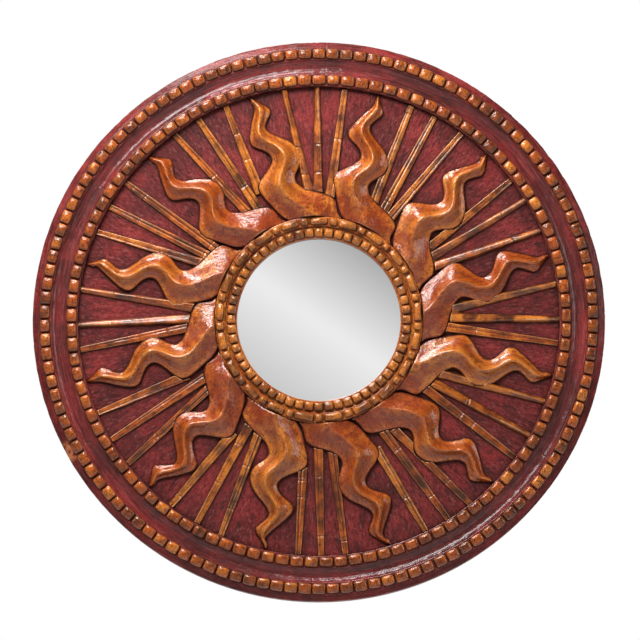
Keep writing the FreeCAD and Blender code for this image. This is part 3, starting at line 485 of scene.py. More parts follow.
def gilded(name, redness, stain=0.0, root=0.0, rub_and_highlight=0.3, foot_wash_and_shade=True):
    """Copper-gold paint over red clay under a varnish, paled on crests and edges by rubbing and by painted highlight,
    and darkened by antique colour in the hollows and by painted shade on flanks and sides, along feet and edges,
    low in gaps and between pieces.
    """
    gilt = Finish(name)
    tone = settings().colours
    clouds = gilt.noise(gilt.spot, 30.0, 4.0, 0.62)
    patches = gilt.noise(gilt.spot, 80.0, 4.0, 0.65, 0.6)
    brush = gilt.noise(gilt.polar(190.0, 26.0), 1.0, 4.0, 0.65)
    hairs = gilt.noise(gilt.polar(420.0, 70.0), 1.0, 3.0, 0.65, 0.5)
    dust = gilt.noise(gilt.spot, 520.0, 2.0, 0.6)
    grain = gilt.noise(gilt.spot, 480.0, 2.0, 0.55)
    ripple = gilt.noise(gilt.spot, 210.0, 3.0, 0.6)
    crest = gilt.attribute("crest")
    hollow = gilt.attribute("hollow")
    shift = gilt.attribute("tone")
    base = gilt.mix((clouds + shift * 0.35 - 0.18).step(0.24, 0.50), tone.copper, tone.gold)
    inward = 1.0 - gilt.radius.step(*ROOT_END)
    bare = (patches + redness + inward * root - shift * 0.06).step(0.54, 0.70)
    base = gilt.mix(bare * 0.8, base, tone.bole)
    # Red clay in the hollows, and as painted shade on the flames' flanks, edges and sides and low in the blocks'
    # gaps.
    base = gilt.mix(hollow.step(0.05, 0.45) * 0.6, base, tone.bole)
    dark = (0.50 - brush).step(0.0, 0.16) * 0.42 + stain * (0.62 - clouds).step(0.0, 0.3)
    base = gilt.mix(dark, base, tone.antique)
    for texture, limit, weight in ((hairs, 0.47, 0.42), (patches, 0.43, 0.55)):
        base = gilt.mix((limit - texture).step(0.0, 0.12) * weight, base, tone.antique)
    pits = grain.step(0.58, 0.66)
    base = gilt.mix(pits * 0.7, base, tone.antique)
    # Pale worn colour on crests and edges: rubbing, and painted highlight along the flames' ridges and the rays' and
    # blocks' edges.
    base = gilt.mix(crest.step(0.2, 0.9) * (rub_and_highlight + 0.45 * dust), base, tone.worn)
    # Dark antique colour in the hollows, and painted shade down the flames' sides and along their edges, low in the
    # blocks' gaps, along the foot and in recesses between pieces.
    wash_and_shade = hollow.step(0.5, 0.95)
    # Painted shade, with antique colour, along the foot where a piece meets the panel.
    if foot_wash_and_shade:
        wash_and_shade = wash_and_shade.most(1.0 - (FACE - gilt.y).step(0.4 * MM, 3.2 * MM))
    # Painted shade in the recesses between pieces.
    wash_and_shade = wash_and_shade.most(gilt.recess(6 * MM).step(0.35, 0.85))
    base = gilt.mix(wash_and_shade * 0.92, base, tone.antique)
    relief = clouds * 0.25 + brush * 0.35 + hairs * 0.35 + dust * 0.3 + ripple * 0.8 - pits * 0.5
    rough = 0.36 + 0.24 * patches + 0.15 * wash_and_shade
    normal = gilt.bump(relief, 1.2 * MM, 0.85)
    return gilt.finish(
        Base_Color=base, Metallic=0.25, Roughness=rough, Normal=normal, Specular_IOR_Level=0.07,
        Coat_Weight=(1.0 - wash_and_shade) * (0.3 + 0.7 * dust.step(0.38, 0.56)), Coat_Roughness=0.20
    )


def silvered_glass():
    glass = Finish("silvered_glass")
    tone = settings().colours
    rim = glass.radius.step(*GLASS_EDGE)
    back = glass.y.step(*GLASS_BACK)
    base = glass.mix(rim, tone.silver, tone.glass_edge)
    base = glass.mix(back, base, tone.glass_back)
    haze = glass.noise(glass.spot, 40.0, 3.0)
    return glass.finish(Base_Color=base, Metallic=1.0 - back, Roughness=0.012 + 0.02 * haze + 0.5 * back)


def wool_felt():
    felt = Finish("wool_felt")
    tone = settings().colours
    lint = felt.noise(felt.spot, 900.0, 3.0, 0.7)
    base = felt.mix(lint.step(0.35, 0.7), tone.felt, tone.lint)
    return felt.finish(Base_Color=base, Roughness=0.95, Normal=felt.bump(lint, 0.5 * MM, 0.8))


def worn_metal(name, bright, tarnish, brushed):
    """Plate or wire with tarnish and brushing, darkened by painted shade and made less metallic round its neighbours.
    """
    metal = Finish(name)
    clouds = metal.noise(metal.spot, 150.0, 4.0, 0.6)
    lines = metal.noise(metal.stretch(*brushed), 1.0, 2.0)
    spots = (0.3 - metal.specks(metal.spot, 260.0)).step(0.0, 0.15)
    # Painted shade round the metal's neighbours, where it is also less metallic.
    grime_and_shade = metal.recess(3 * MM).step(0.3, 0.8)
    base = metal.mix(clouds.step(0.42, 0.7) * 0.65, bright, tarnish)
    base = metal.mix((spots * 0.5).most(grime_and_shade * 0.7), base, settings().colours.shade)
    rough = 0.26 + 0.3 * clouds + 0.12 * lines
    relief = lines * 0.5 + clouds * 0.3 - spots * 0.4
    return metal.finish(
        Base_Color=base, Metallic=1.0 - 0.6 * grime_and_shade, Roughness=rough, Normal=metal.bump(relief, 0.15 * MM, 0.5)
    )


def coat(mesh, material):
    """Leave one material on a mesh."""
    mesh.materials.clear()
    mesh.materials.append(material)


def dress(node, material):
    """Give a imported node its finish."""
    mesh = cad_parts[node].data
    coat(mesh, material)
    for face in mesh.polygons:
        face.material_index = 0


def stand_in(item, node, material):
    """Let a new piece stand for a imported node."""
    coat(item.data, material)
    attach(item, BODY)
    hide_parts(node)


def new_object(name, mesh):
    item = bpy.data.objects.new(name, mesh)
    bpy.context.scene.collection.objects.link(item)
    return item


def mesh_of(shape, name):
    """A shape made into a new mesh, and freed."""
    mesh = bpy.data.meshes.new(name)
    shape.to_mesh(mesh)
    shape.free()
    return mesh


def welded(node):
    """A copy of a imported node's mesh with its seams closed."""
    shape = bmesh.new()
    shape.from_mesh(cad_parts[node].data)
    bmesh.ops.remove_doubles(shape, verts=shape.verts, dist=0.01 * MM)
    return mesh_of(shape, node)


def fine_copy(node, name, cell):
    """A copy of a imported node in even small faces."""
    item = new_object(name, welded(node))
    grid = item.modifiers.new("fine", "REMESH")
    grid.mode = "VOXEL"
    grid.voxel_size = cell
    bpy.context.view_layer.update()
    seen = item.evaluated_get(bpy.context.evaluated_depsgraph_get())
    mesh = bpy.data.meshes.new_from_object(seen)
    item.modifiers.clear()
    item.data = mesh
    return item


def rows_of(items, name, width, kind):
    """One property of a mesh's points or edges, in rows."""
    values = np.empty(len(items) * width, kind)
    items.foreach_get(name, values)
    return values.reshape(-1, width)


def places(mesh):
    return rows_of(mesh.vertices, "co", 3, np.float32).astype(float)


def facings(mesh):
    return rows_of(mesh.vertices, "normal", 3, np.float32).astype(float)


def edge_ends(mesh):
    return rows_of(mesh.edges, "vertices", 2, np.int32)


def reaches(spots):
    """Distance of each point from the middle of the panel."""
    return np.hypot(spots[:, 0], spots[:, 2])


def on_panel(spot):
    """A point laid flat on the panel."""
    return spot[0], 0.0, spot[2]


def store(mesh, spots):
    mesh.vertices.foreach_set("co", spots.astype(np.float32).ravel())
    mesh.update()


def neighbour_mean(values, ends):
    """Mean of a value over the neighbours of each point."""
    total = len(values)
    near = np.bincount(ends[:, 0], values[ends[:, 1]], total)
    near += np.bincount(ends[:, 1], values[ends[:, 0]], total)
    return near / np.bincount(ends.ravel(), minlength=total).clip(1)


def relaxed(rows, ends, passes):
    """Rows of values drawn half way to the mean of their neighbours, a few times."""
    for _ in range(passes):
        near = np.stack([neighbour_mean(column, ends) for column in rows.T], axis=1)
        rows = rows + (near - rows) * 0.5
    return rows


def swell(spots, spread, seed):
    """Smooth chance between -1 and 1 over space."""
    shift = Vector((seed * 7.3, seed * 3.1, seed * 5.7))
    return np.array([noise.noise(Vector(spot) / spread + shift) for spot in spots])


def set_value(mesh, name, values):
    layer = mesh.attributes.get(name) or mesh.attributes.new(name, "FLOAT", "POINT")
    layer.data.foreach_set("value", np.asarray(values, np.float32))


def mark_wear(mesh, passes, height):
    """Store and give where a surface is an edge and where it is a hollow."""
    spots = places(mesh)
    rise = ((spots - relaxed(spots, edge_ends(mesh), passes)) * facings(mesh)).sum(1) / height
    set_value(mesh, "crest", rise.clip(0, 1))
    set_value(mesh, "hollow", (-rise).clip(0, 1))
    return rise


def rough_hewn(mesh, seed, depth_share=1.0):
    """Move a surface in and out as hand tools would leave it."""
    carve = settings().carving
    spots = places(mesh)
    rise = swell(spots, carve.hand_spread, seed) * carve.hand_depth
    rise += swell(spots, carve.tool_spread, seed + TOOL_SEED_STEP) * carve.tool_depth
    above = ((FACE - spots[:, 1]) / (2 * MM)).clip(0, 1)
    store(mesh, spots + facings(mesh) * (rise * above * depth_share)[:, None])


def smooth(mesh):
    mesh.polygons.foreach_set("use_smooth", np.ones(len(mesh.polygons), bool))


def islands(ends, total):
    """Points of each separate group that edges join."""
    mark = np.arange(total)
    while True:
        low = np.minimum(mark[ends[:, 0]], mark[ends[:, 1]])
        fresh = mark.copy()
        np.minimum.at(fresh, ends[:, 0], low)
        np.minimum.at(fresh, ends[:, 1], low)
        fresh = fresh[fresh]
        if (fresh == mark).all():
            break
        mark = fresh
    return [np.flatnonzero(mark == root) for root in np.unique(mark)]


def turned(direction, angle):
    turn = math.radians(angle)
    x, z = direction
    return np.array((x * math.cos(turn) + z * math.sin(turn), z * math.cos(turn) - x * math.sin(turn)))


class SUNBURST_OT_planks(bpy.types.Operator):
    """Paint the boards of the panel"""

    bl_idname = "sunburst.planks"
    bl_label = "Planks"

    def execute(self, context):
        tops = sorted(places(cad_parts[node].data)[:, 2].max() for node in PLANKS)
        paint = painted_red("panel_paint", stroke=(40.0, 40.0), shine=0.5, seams=tops[:-1])
        for node in PLANKS:
            dress(node, paint)
        return {"FINISHED"}


def cove_points(start, end, radius, count):
    """Points on a hollow arc between two corners of a section."""
    start, end = np.array(start), np.array(end)
    middle = (start + end) / 2
    chord = end - start
    half = np.linalg.norm(chord) / 2
    up = np.array((-chord[1], chord[0])) / (2 * half)
    centre = middle + up * math.sqrt(radius**2 - half**2)
    first = math.atan2(*(start - centre)[::-1])
    last = math.atan2(*(end - centre)[::-1])
    turns = np.linspace(first, last, count)
    return [tuple(centre + radius * np.array((math.cos(turn), math.sin(turn)))) for turn in turns]


def eased(corners, radius, count=4):
    """A section's polyline with each corner rounded a little and its runs divided."""
    points = []
    for before, corner, after in zip(corners[:-2], corners[1:-1], corners[2:]):
        before, corner, after = (np.array(point) for point in (before, corner, after))
        back, ahead = before - corner, after - corner
        reach = min(radius, np.linalg.norm(back) * 0.45, np.linalg.norm(ahead) * 0.45)
        first = corner + back / np.linalg.norm(back) * reach
        last = corner + ahead / np.linalg.norm(ahead) * reach
        for step in range(count + 1):
            way = step / count
            points.append((1 - way) ** 2 * first + 2 * way * (1 - way) * corner + way**2 * last)
    return [np.array(corners[0]), *points, np.array(corners[-1])]


def divided(points, longest):
    """The same polyline with no run longer than a limit."""
    full = [points[0]]
    for start, end in zip(points[:-1], points[1:]):
        parts = max(1, math.ceil(np.linalg.norm(end - start) / longest))
        full += [start + (end - start) * part / parts for part in range(1, parts + 1)]
    return full


def grid_mesh(name, rings, closed_round):
    """A tube of faces through rings of points."""
    shape = bmesh.new()
    rows = [[shape.verts.new(point) for point in ring] for ring in rings]
    total = len(rows[0])
    pairs = list(zip(rows[:-1], rows[1:]))
    if closed_round:
        pairs.append((rows[-1], rows[0]))
    for first, second in pairs:
        for step in range(total):
            after = (step + 1) % total
            shape.faces.new((first[step], first[after], second[after], second[step]))
    bmesh.ops.recalc_face_normals(shape, faces=shape.faces)
    mesh = mesh_of(shape, name)
    smooth(mesh)
    return mesh


def close_ends(mesh, total):
    """Close a tube's ends with flat faces that share none of its points, so that it shades straight to its end."""
    shape = bmesh.new()
    shape.from_mesh(mesh)
    points = list(shape.verts)
    for ring in (points[:total][::-1], points[-total:]):
        shape.faces.new([shape.verts.new(vertex.co) for vertex in ring])
    shape.to_mesh(mesh)
    shape.free()


# Points along the cove, and rounding of the corners and longest run of the two sections.
COVE_POINTS = 14
RIM_ROUND, RIM_RUN = 1.3 * MM, 1.6 * MM
COLLAR_ROUND, COLLAR_RUN = 1.2 * MM, 1.5 * MM
# Band along the outer edge that is rubbed, as shares of the oval, and spread of the rubbing and the nicks.
EDGE_START, EDGE_BAND = 0.972, 0.028
RUB_SPREAD, NICK_SPREAD = 11 * MM, 4 * MM


def rim_section():
    """Inset and height of the rim's section, from the outer foot over the lip and cove to the inner foot."""
    rim = settings().rim
    seat = rim.lip_width + rim.outer_seat_width
    inner = seat + rim.cove_width
    width = inner + rim.inner_seat_width
    cove = cove_points(
        (seat, rim.outer_seat_height), (inner, rim.inner_seat_height), rim.cove_round, COVE_POINTS
    )
    corners = [(0.0, 0.0), (0.0, rim.lip_height), (rim.lip_width, rim.outer_seat_height), *cove]
    corners += [(width, rim.inner_seat_height), (width, 0.0)]
    return divided(eased(corners, RIM_ROUND), RIM_RUN)


def oval_point(angle, inset):
    """A point inside the oval's edge, measured square to it."""
    turn = math.radians(angle)
    edge = 1 / math.hypot(math.sin(turn) / HALF_WIDTH, math.cos(turn) / HALF_HEIGHT)
    x, z = edge * math.sin(turn), edge * math.cos(turn)
    face = np.array((x / HALF_WIDTH**2, z / HALF_HEIGHT**2))
    face /= np.linalg.norm(face)
    return np.array((x, z)) - face * inset, face


class SUNBURST_OT_rim(bpy.types.Operator):
    """Carve and paint the six curved pieces of the rim"""

    bl_idname = "sunburst.rim"
    bl_label = "Rim"

    def execute(self, context):
        rim = settings().rim
        paint = painted_red("rim_paint", stroke=(5.0, 210.0), shine=0.62, worn_edge=True)
        section = rim_section()
        span = 360 / len(FELLOES)
        margin = math.degrees(rim.joint_gap / HALF_WIDTH)
        for count, node in enumerate(FELLOES):
            first = rim.first_joint + span * count + margin
            last = rim.first_joint + span * (count + 1) - margin
            rings = []
            angles = np.linspace(first, last, rim.steps)
            for angle in (first, first + rim.joint_ease, *angles[1:-1], last - rim.joint_ease, last):
                sunk = rim.joint_depth if angle in (first, last) else 0.0
                ring = []
                for inset, height in section:
                    (x, z), _ = oval_point(angle, inset)
                    ring.append((x, FACE - max(height - sunk, 0.0), z))
                rings.append(ring)
            mesh = grid_mesh(f"{node}_carved", rings, False)
            rough_hewn(mesh, SEEDS["rim"])
            self.wear_edge(mesh)
            mark_wear(mesh, settings().carving.wear_reach, WEAR_HEIGHT["rim"])
            close_ends(mesh, len(section))
            stand_in(new_object(f"{node}_carved", mesh), node, paint)
        return {"FINISHED"}

    def wear_edge(self, mesh):
        """Rub and chip the outer edge unevenly."""
        rim = settings().rim
        spots = places(mesh)
        flat = np.hypot(spots[:, 0] / HALF_WIDTH, spots[:, 2] / HALF_HEIGHT)
        edge = ((flat - EDGE_START) / EDGE_BAND).clip(0, 1) * ((FACE - spots[:, 1]) / (4 * MM)).clip(0, 1)
        rub = swell(spots, RUB_SPREAD, SEEDS["edge_rub"]) * 0.6
        rub = (rub + swell(spots, NICK_SPREAD, SEEDS["edge_nicks"]) * 0.5 - 0.12).clip(0, 1)
        chip = (1 - np.linalg.norm(spots - np.array(CHIP), axis=1) / CHIP_WIDTH).clip(0, 1)
        loss = edge * (rub * rim.edge_wear + chip * CHIP_DEPTH)
        spots[:, [0, 2]] *= (1 - loss / HALF_WIDTH)[:, None]
        spots[:, 1] += loss * 0.8
        store(mesh, spots)


class SUNBURST_OT_collar(bpy.types.Operator):
    """Carve and gild the collar round the glass"""

    bl_idname = "sunburst.collar"
    bl_label = "Collar"

    def execute(self, context):
        rim = settings().rim
        step = rim.sight_radius + rim.collar_inner_width
        outer = step + rim.collar_outer_width
        corners = [
            (outer, 0.0),
            (outer, rim.collar_outer_height),
            (step, rim.collar_outer_height),
            (step, rim.collar_inner_height),
            (rim.sight_radius, rim.collar_inner_height),
            (rim.sight_radius, 0.0),
        ]
        section = divided(eased(corners, COLLAR_ROUND), COLLAR_RUN)
        rings = []
        for turn in np.linspace(0, 2 * math.pi, rim.collar_steps, endpoint=False):
            rings.append([(r * math.sin(turn), FACE - h, r * math.cos(turn)) for r, h in section])
        mesh = grid_mesh("collar_carved", rings, True)
        rough_hewn(mesh, SEEDS["collar"], depth_share=0.6)
        mark_wear(mesh, settings().carving.wear_reach, WEAR_HEIGHT["collar"])
        set_value(mesh, "tone", np.zeros(len(mesh.vertices)))
        stand_in(new_object("collar_carved", mesh), "collar", gilded("collar_gilding", 0.0))
        return {"FINISHED"}


def block_pattern(cells):
    """Points of a divided cube from -1 to 1, closer together near its edges, and its faces."""
    shape = bmesh.new()
    bmesh.ops.create_cube(shape, size=2.0)
    bmesh.ops.subdivide_edges(shape, edges=shape.edges, cuts=cells - 1, use_grid_fill=True)
    spots = np.array([vertex.co for vertex in shape.verts])
    faces = [[vertex.index for vertex in face.verts] for face in shape.faces]
    shape.free()
    return np.sin(spots * math.pi / 2), faces


def pillow(pattern, squareness, crown):
    """The pattern drawn in to a rounded block, with its lower half flat."""
    plan = (np.abs(pattern[:, :2]) ** squareness).sum(1) ** (crown / squareness)
    block = pattern / (plan + np.abs(pattern[:, 2]) ** crown)[:, None] ** (1 / crown)
    block[:, 2] = np.where(block[:, 2] < 0, 0, block[:, 2])
    return block


# Paler blocks on the collar than on the rim, rubbing and painted highlight on their upper edges,
# and height at which a gap is open, below which a block is darkened with painted shade.
COLLAR_TONE, RIM_TONE = 0.75, -0.35
BLOCK_RUB_AND_HIGHLIGHT = 0.38
OPEN_HEIGHT = 0.75
SWELL_SPREAD, MARK_SPREAD = 6 * MM, 2.2 * MM


class SUNBURST_OT_blocks(bpy.types.Operator):
    """Carve and gild the five rows of blocks, no two quite alike"""

    bl_idname = "sunburst.blocks"
    bl_label = "Blocks"

    def execute(self, context):
        gilt = gilded("block_gilding", 0.0, stain=0.68, foot_wash_and_shade=False)
        rim = settings().rim
        seat = rim.lip_width + rim.outer_seat_width
        inner = seat + rim.cove_width + rim.inner_seat_width / 2
        rows = {
            "outer_beads": rim.lip_width + rim.outer_seat_width / 2,
            "inner_beads": inner,
            "collar_beads": None,
            "collar_bars": None,
            "collar_studs": None,
        }
        for count, (node, inset) in enumerate(rows.items()):
            chance = random.Random(settings().blocks.seed + count)
            mesh = self.row(node, inset, chance, SEEDS["block"] + count)
            stand_in(new_object(f"{node}_carved", mesh), node, gilt)
        return {"FINISHED"}

    def row(self, node, inset, chance, seed):
        """One mesh of blocks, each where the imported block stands."""
        block = settings().blocks
        pattern, faces = block_pattern(block.cells)
        source = welded(node)
        spots = places(source)
        points, polygons, tones, hollows = [], [], [], []
        for members in islands(edge_ends(source), len(spots)):
            own = spots[members]
            middle = (own.min(0) + own.max(0)) / 2
            face = self.facing(middle, inset)
            points_here, depth = self.block(own, face, pattern, chance)
            polygons += [[corner + len(tones) for corner in corners] for corners in faces]
            points += list(points_here)
            tones += [chance.uniform(-0.5, 0.5) + (COLLAR_TONE if inset is None else RIM_TONE)] * len(points_here)
            hollows += list(depth)
        mesh = bpy.data.meshes.new(f"{node}_carved")
        mesh.from_pydata(points, [], polygons)
        mesh.validate()
        self.tidy(mesh, tones, hollows, seed)
        return mesh

    def facing(self, middle, inset):
        """Outward direction of a block from its place on the oval or the circle."""
        x, z = middle[0], middle[2]
        if inset is not None:
            x, z = x / (HALF_WIDTH - inset) ** 2, z / (HALF_HEIGHT - inset) ** 2
        return np.array((x, z)) / math.hypot(x, z)

    def block(self, own, face, pattern, chance):
        """Points of one carved block over a packed block, and how deep each lies in the gap beside it."""
        sizes = settings().blocks
        flat = own[:, [0, 2]]
        along = np.array((face[1], -face[0]))
        low = np.array(((flat @ along).min(), (flat @ face).min()))
        high = np.array(((flat @ along).max(), (flat @ face).max()))
        half = (high - low) / 2 * np.array((sizes.stretch, 1.0))
        half *= [chance.uniform(1 - sizes.size_spread, 1 + sizes.size_spread * 0.6) for _ in range(2)]
        base, top = own[:, 1].max(), own[:, 1].min()
        height = (base - top) * chance.uniform(1 - sizes.size_spread * 1.6, 1 + sizes.size_spread * 0.6)
        squareness = sizes.squareness * chance.uniform(0.75, 1.2)
        shape = pillow(pattern, squareness, sizes.crown * chance.uniform(0.85, 1.15))
        lean = 1 + sizes.lean_spread * (chance.uniform(-1, 1) * shape[:, 0] + chance.uniform(-1, 1) * shape[:, 1]) / 2
        turn = chance.uniform(-sizes.turn_spread, sizes.turn_spread)
        first, second = turned(along, turn), turned(face, turn)
        centre = along * (low + high)[0] / 2 + face * (low + high)[1] / 2
        plan = centre + np.outer(shape[:, 0] * half[0], first) + np.outer(shape[:, 1] * half[1], second)
        rise = base - shape[:, 2] * lean * height
        return np.stack((plan[:, 0], rise, plan[:, 1]), axis=1), (1 - shape[:, 2] / OPEN_HEIGHT).clip(0, 1)

    def tidy(self, mesh, tones, hollows, seed):
        """Turn the faces outward, roughen the blocks and store their tones."""
        set_value(mesh, "tone", tones)
        # How deep each point lies in the gap, for painted shade low between the blocks.
        set_value(mesh, "hollow", hollows)
        shape = bmesh.new()
        shape.from_mesh(mesh)
        bmesh.ops.recalc_face_normals(shape, faces=shape.faces)
        shape.to_mesh(mesh)
        shape.free()
        smooth(mesh)
        spots = places(mesh)
        hollows = np.array(hollows)
        depth = settings().blocks.hand_depth
        rise = swell(spots, SWELL_SPREAD, seed) * depth
        rise += swell(spots, MARK_SPREAD, seed + 1) * depth * 0.4
        edge = (hollows > 0.02) & (hollows < 0.4)
        store(mesh, spots + facings(mesh) * (rise * (1 - hollows).clip(0.2, 1))[:, None])
        # Rubbing and painted highlight on the ring round the top of each block.
        set_value(mesh, "crest", edge * BLOCK_RUB_AND_HIGHLIGHT)


# How squarely a flame's sides and its face look to the front, passes that even out its width, and spread of tone.
SIDE_LIMIT = 0.4
FACE_LIMIT = 0.3
ACROSS_PASSES = 150
WIDTH_PASSES = 30
FLAME_TONE = 0.35
# Stretches at the root and the tip that belong to neither long edge, band held at the edges, and drop of the tip.
ROOT_CLEAR = 3 * MM
TIP_CLEAR = 2.5 * MM
EDGE_HOLD = 1.2 * MM
TIP_DROP = 0.6


class SUNBURST_OT_flames(bpy.types.Operator):
    """Carve and gild the twelve flames"""

    bl_idname = "sunburst.flames"
    bl_label = "Flames"

    def execute(self, context):
        gilt = gilded("flame_gilding", 0.0, root=0.17, rub_and_highlight=0.0)
        carve = settings().carving
        for count, node in enumerate(FLAMES):
            item = fine_copy(node, f"{node}_carved", carve.flame_mesh)
            mesh = item.data
            way, inset = self.slope(mesh)
            self.round_crest(mesh)
            self.point_tip(mesh)
            rough_hewn(mesh, SEEDS["flame"] + count)
            rise = mark_wear(mesh, carve.wear_reach, WEAR_HEIGHT["flame"])
            self.mark_flanks(mesh, rise, way, inset)
            set_value(mesh, "tone", np.full(len(mesh.vertices), math.sin(count * 2.4) * FLAME_TONE))
            smooth(mesh)
            stand_in(item, node, gilt)
        return {"FINISHED"}

    def slope(self, mesh):
        """Raise the face from its edges to a crest, and give each point's way to it and distance from the edge."""
        carve = settings().carving
        spots = places(mesh)
        front = -facings(mesh)[:, 1]
        reach = reaches(spots)
        inner, outer = reach.min(), reach.max()
        side = (np.abs(front) < SIDE_LIMIT) & (reach > inner + ROOT_CLEAR)
        face = np.flatnonzero(front > FACE_LIMIT)
        gaps = np.zeros((len(spots), 2))
        for column, edge in enumerate(self.both_edges(mesh, side, reach)):
            gaps[face, column] = [edge.find(on_panel(spots[index]))[2] for index in face]
        ends = edge_ends(mesh)
        ends = ends[(front[ends] > FACE_LIMIT).all(1)]
        across = gaps[:, 0] / gaps.sum(1).clip(0.1 * MM, None)
        held = gaps.min(1) < EDGE_HOLD
        for _ in range(ACROSS_PASSES):
            across = np.where(held, across, neighbour_mean(across, ends))
        way = 1 - np.abs(2 * across - 1)
        half = relaxed((gaps.sum(1) / 2)[:, None], ends, WIDTH_PASSES)[:, 0]
        back = ((reach - inner) / carve.root_reach).clip(0, 1)
        back = carve.root_height + (1 - carve.root_height) * back * back * (3 - 2 * back)
        rise = carve.flank_slope * half / np.sqrt(1 + (half / carve.flank_reach) ** 2) * back
        rise *= way * (1 - carve.flank_hollow * (1 - way))
        side_height = carve.side_height * (1 - TIP_DROP * ((reach - inner) / (outer - inner)) ** 4)
        cut = ((front - FACE_LIMIT) / FACE_LIMIT).clip(0, 1)
        spots[:, 1] += (FACE - side_height - rise - spots[:, 1]) * cut
        store(mesh, spots)
        return way, gaps.min(1)

    def both_edges(self, mesh, side, reach):
        """Search trees over the points of a flame's two long edges."""
        spots = places(mesh)
        long_side = side & (reach < reach.max() - TIP_CLEAR)
        ends = edge_ends(mesh)
        groups = islands(ends[long_side[ends].all(1)], len(spots))
        pair = sorted((group for group in groups if long_side[group[0]]), key=len)[-2:]
        if len(pair[0]) * 4 < len(pair[1]):
            raise RuntimeError(f"{mesh.name}: its two edges weren't told apart")
        trees = [self.search_tree(spots, group) for group in pair]
        known = np.concatenate(pair)
        for index in np.setdiff1d(np.flatnonzero(side), known):
            spot = on_panel(spots[index])
            nearer = int(trees[1].find(spot)[2] < trees[0].find(spot)[2])
            pair[nearer] = np.append(pair[nearer], index)
        return [self.search_tree(spots, group) for group in pair]

    def search_tree(self, spots, members):
        tree = KDTree(len(members))
        for index in members:
            tree.insert(on_panel(spots[index]), index)
        tree.balance()
        return tree

    def mark_flanks(self, mesh, rise, way, inset):
        """Mark a flame's crest and hollows for its gilding.

        The crest is paled as rubbing and painted highlight; the hollows get antique colour, and the flanks, a band
        along the edges and the upright sides get painted shade.
        """
        front = -facings(mesh)[:, 1]
        spots = places(mesh)
        reach = reaches(spots)
        out = 0.3 + 0.7 * ((reach - reach.min()) / (30 * MM)).clip(0, 1)
        # Crest: convex edges, and a painted highlight along the middle of the face.
        crest = np.maximum(rise.clip(0, 1), ((way - 0.8) / 0.2).clip(0, 1) * 0.45)
        # Hollow: real hollows, and the flanks marked part way as painted shade, leaving the crest lighter.
        hollow = np.maximum((-rise).clip(0, 1), (1 - np.abs(way - 0.5) / 0.4).clip(0, 1) * 0.45)
        # Painted shade along the edges and down the upright sides, less near the root.
        hollow = np.maximum(hollow, (1.25 - inset / (2.2 * MM)).clip(0, 1) * out)
        hollow = np.maximum(hollow, ((0.5 - front) / 0.25).clip(0, 1) * out)
        set_value(mesh, "crest", crest * (1 - hollow))
        set_value(mesh, "hollow", hollow)

    def point_tip(self, mesh):
        """Draw the last stretch of a flame in to a point."""
        carve = settings().carving
        spots = places(mesh)
        flat = spots[:, [0, 2]]
        reach = reaches(spots)
        left = reach.max() - reach
        root = flat[(left > carve.tip_reach * 0.9) & (left < carve.tip_reach * 1.1)].mean(0)
        tip = flat[left < 1.5 * MM].mean(0)
        run = (tip - root) / np.linalg.norm(tip - root)
        side = np.array((-run[1], run[0]))
        way = ((flat - root) @ run / np.linalg.norm(tip - root)).clip(0, 1) * (left < carve.tip_reach * 1.2)
        off = (flat - root) @ side
        spots[:, [0, 2]] -= np.outer(off * way * carve.tip_draw, side)
        store(mesh, spots)

    def round_crest(self, mesh):
        """Even out the heights of a flame's face and leave its upright sides as they are."""
        spots = relaxed(places(mesh), edge_ends(mesh), 1)
        store(mesh, spots)
        ends = edge_ends(mesh)
        pull = ((-facings(mesh)[:, 1] - 0.55) / 0.25).clip(0, 1) * 0.6
        level = spots[:, 1].copy()
        for _ in range(settings().carving.soften):
            level += (neighbour_mean(level, ends) - level) * pull
        spots[:, 1] = level
        store(mesh, spots)


# Height of a ray's flat top and spread of its groove, over the rod's height and half width, and where the rod ends.
BAR_HEIGHT = 0.86
GROOVE_SPREAD = 0.02
ROD_LIMIT = 0.985
# Height below which a rod's sides are measured, in how many slices, and its least half width.
FOOT_HEIGHT = 1.2 * MM
SLICES = 12
LEAST_HALF_WIDTH = 1 * MM


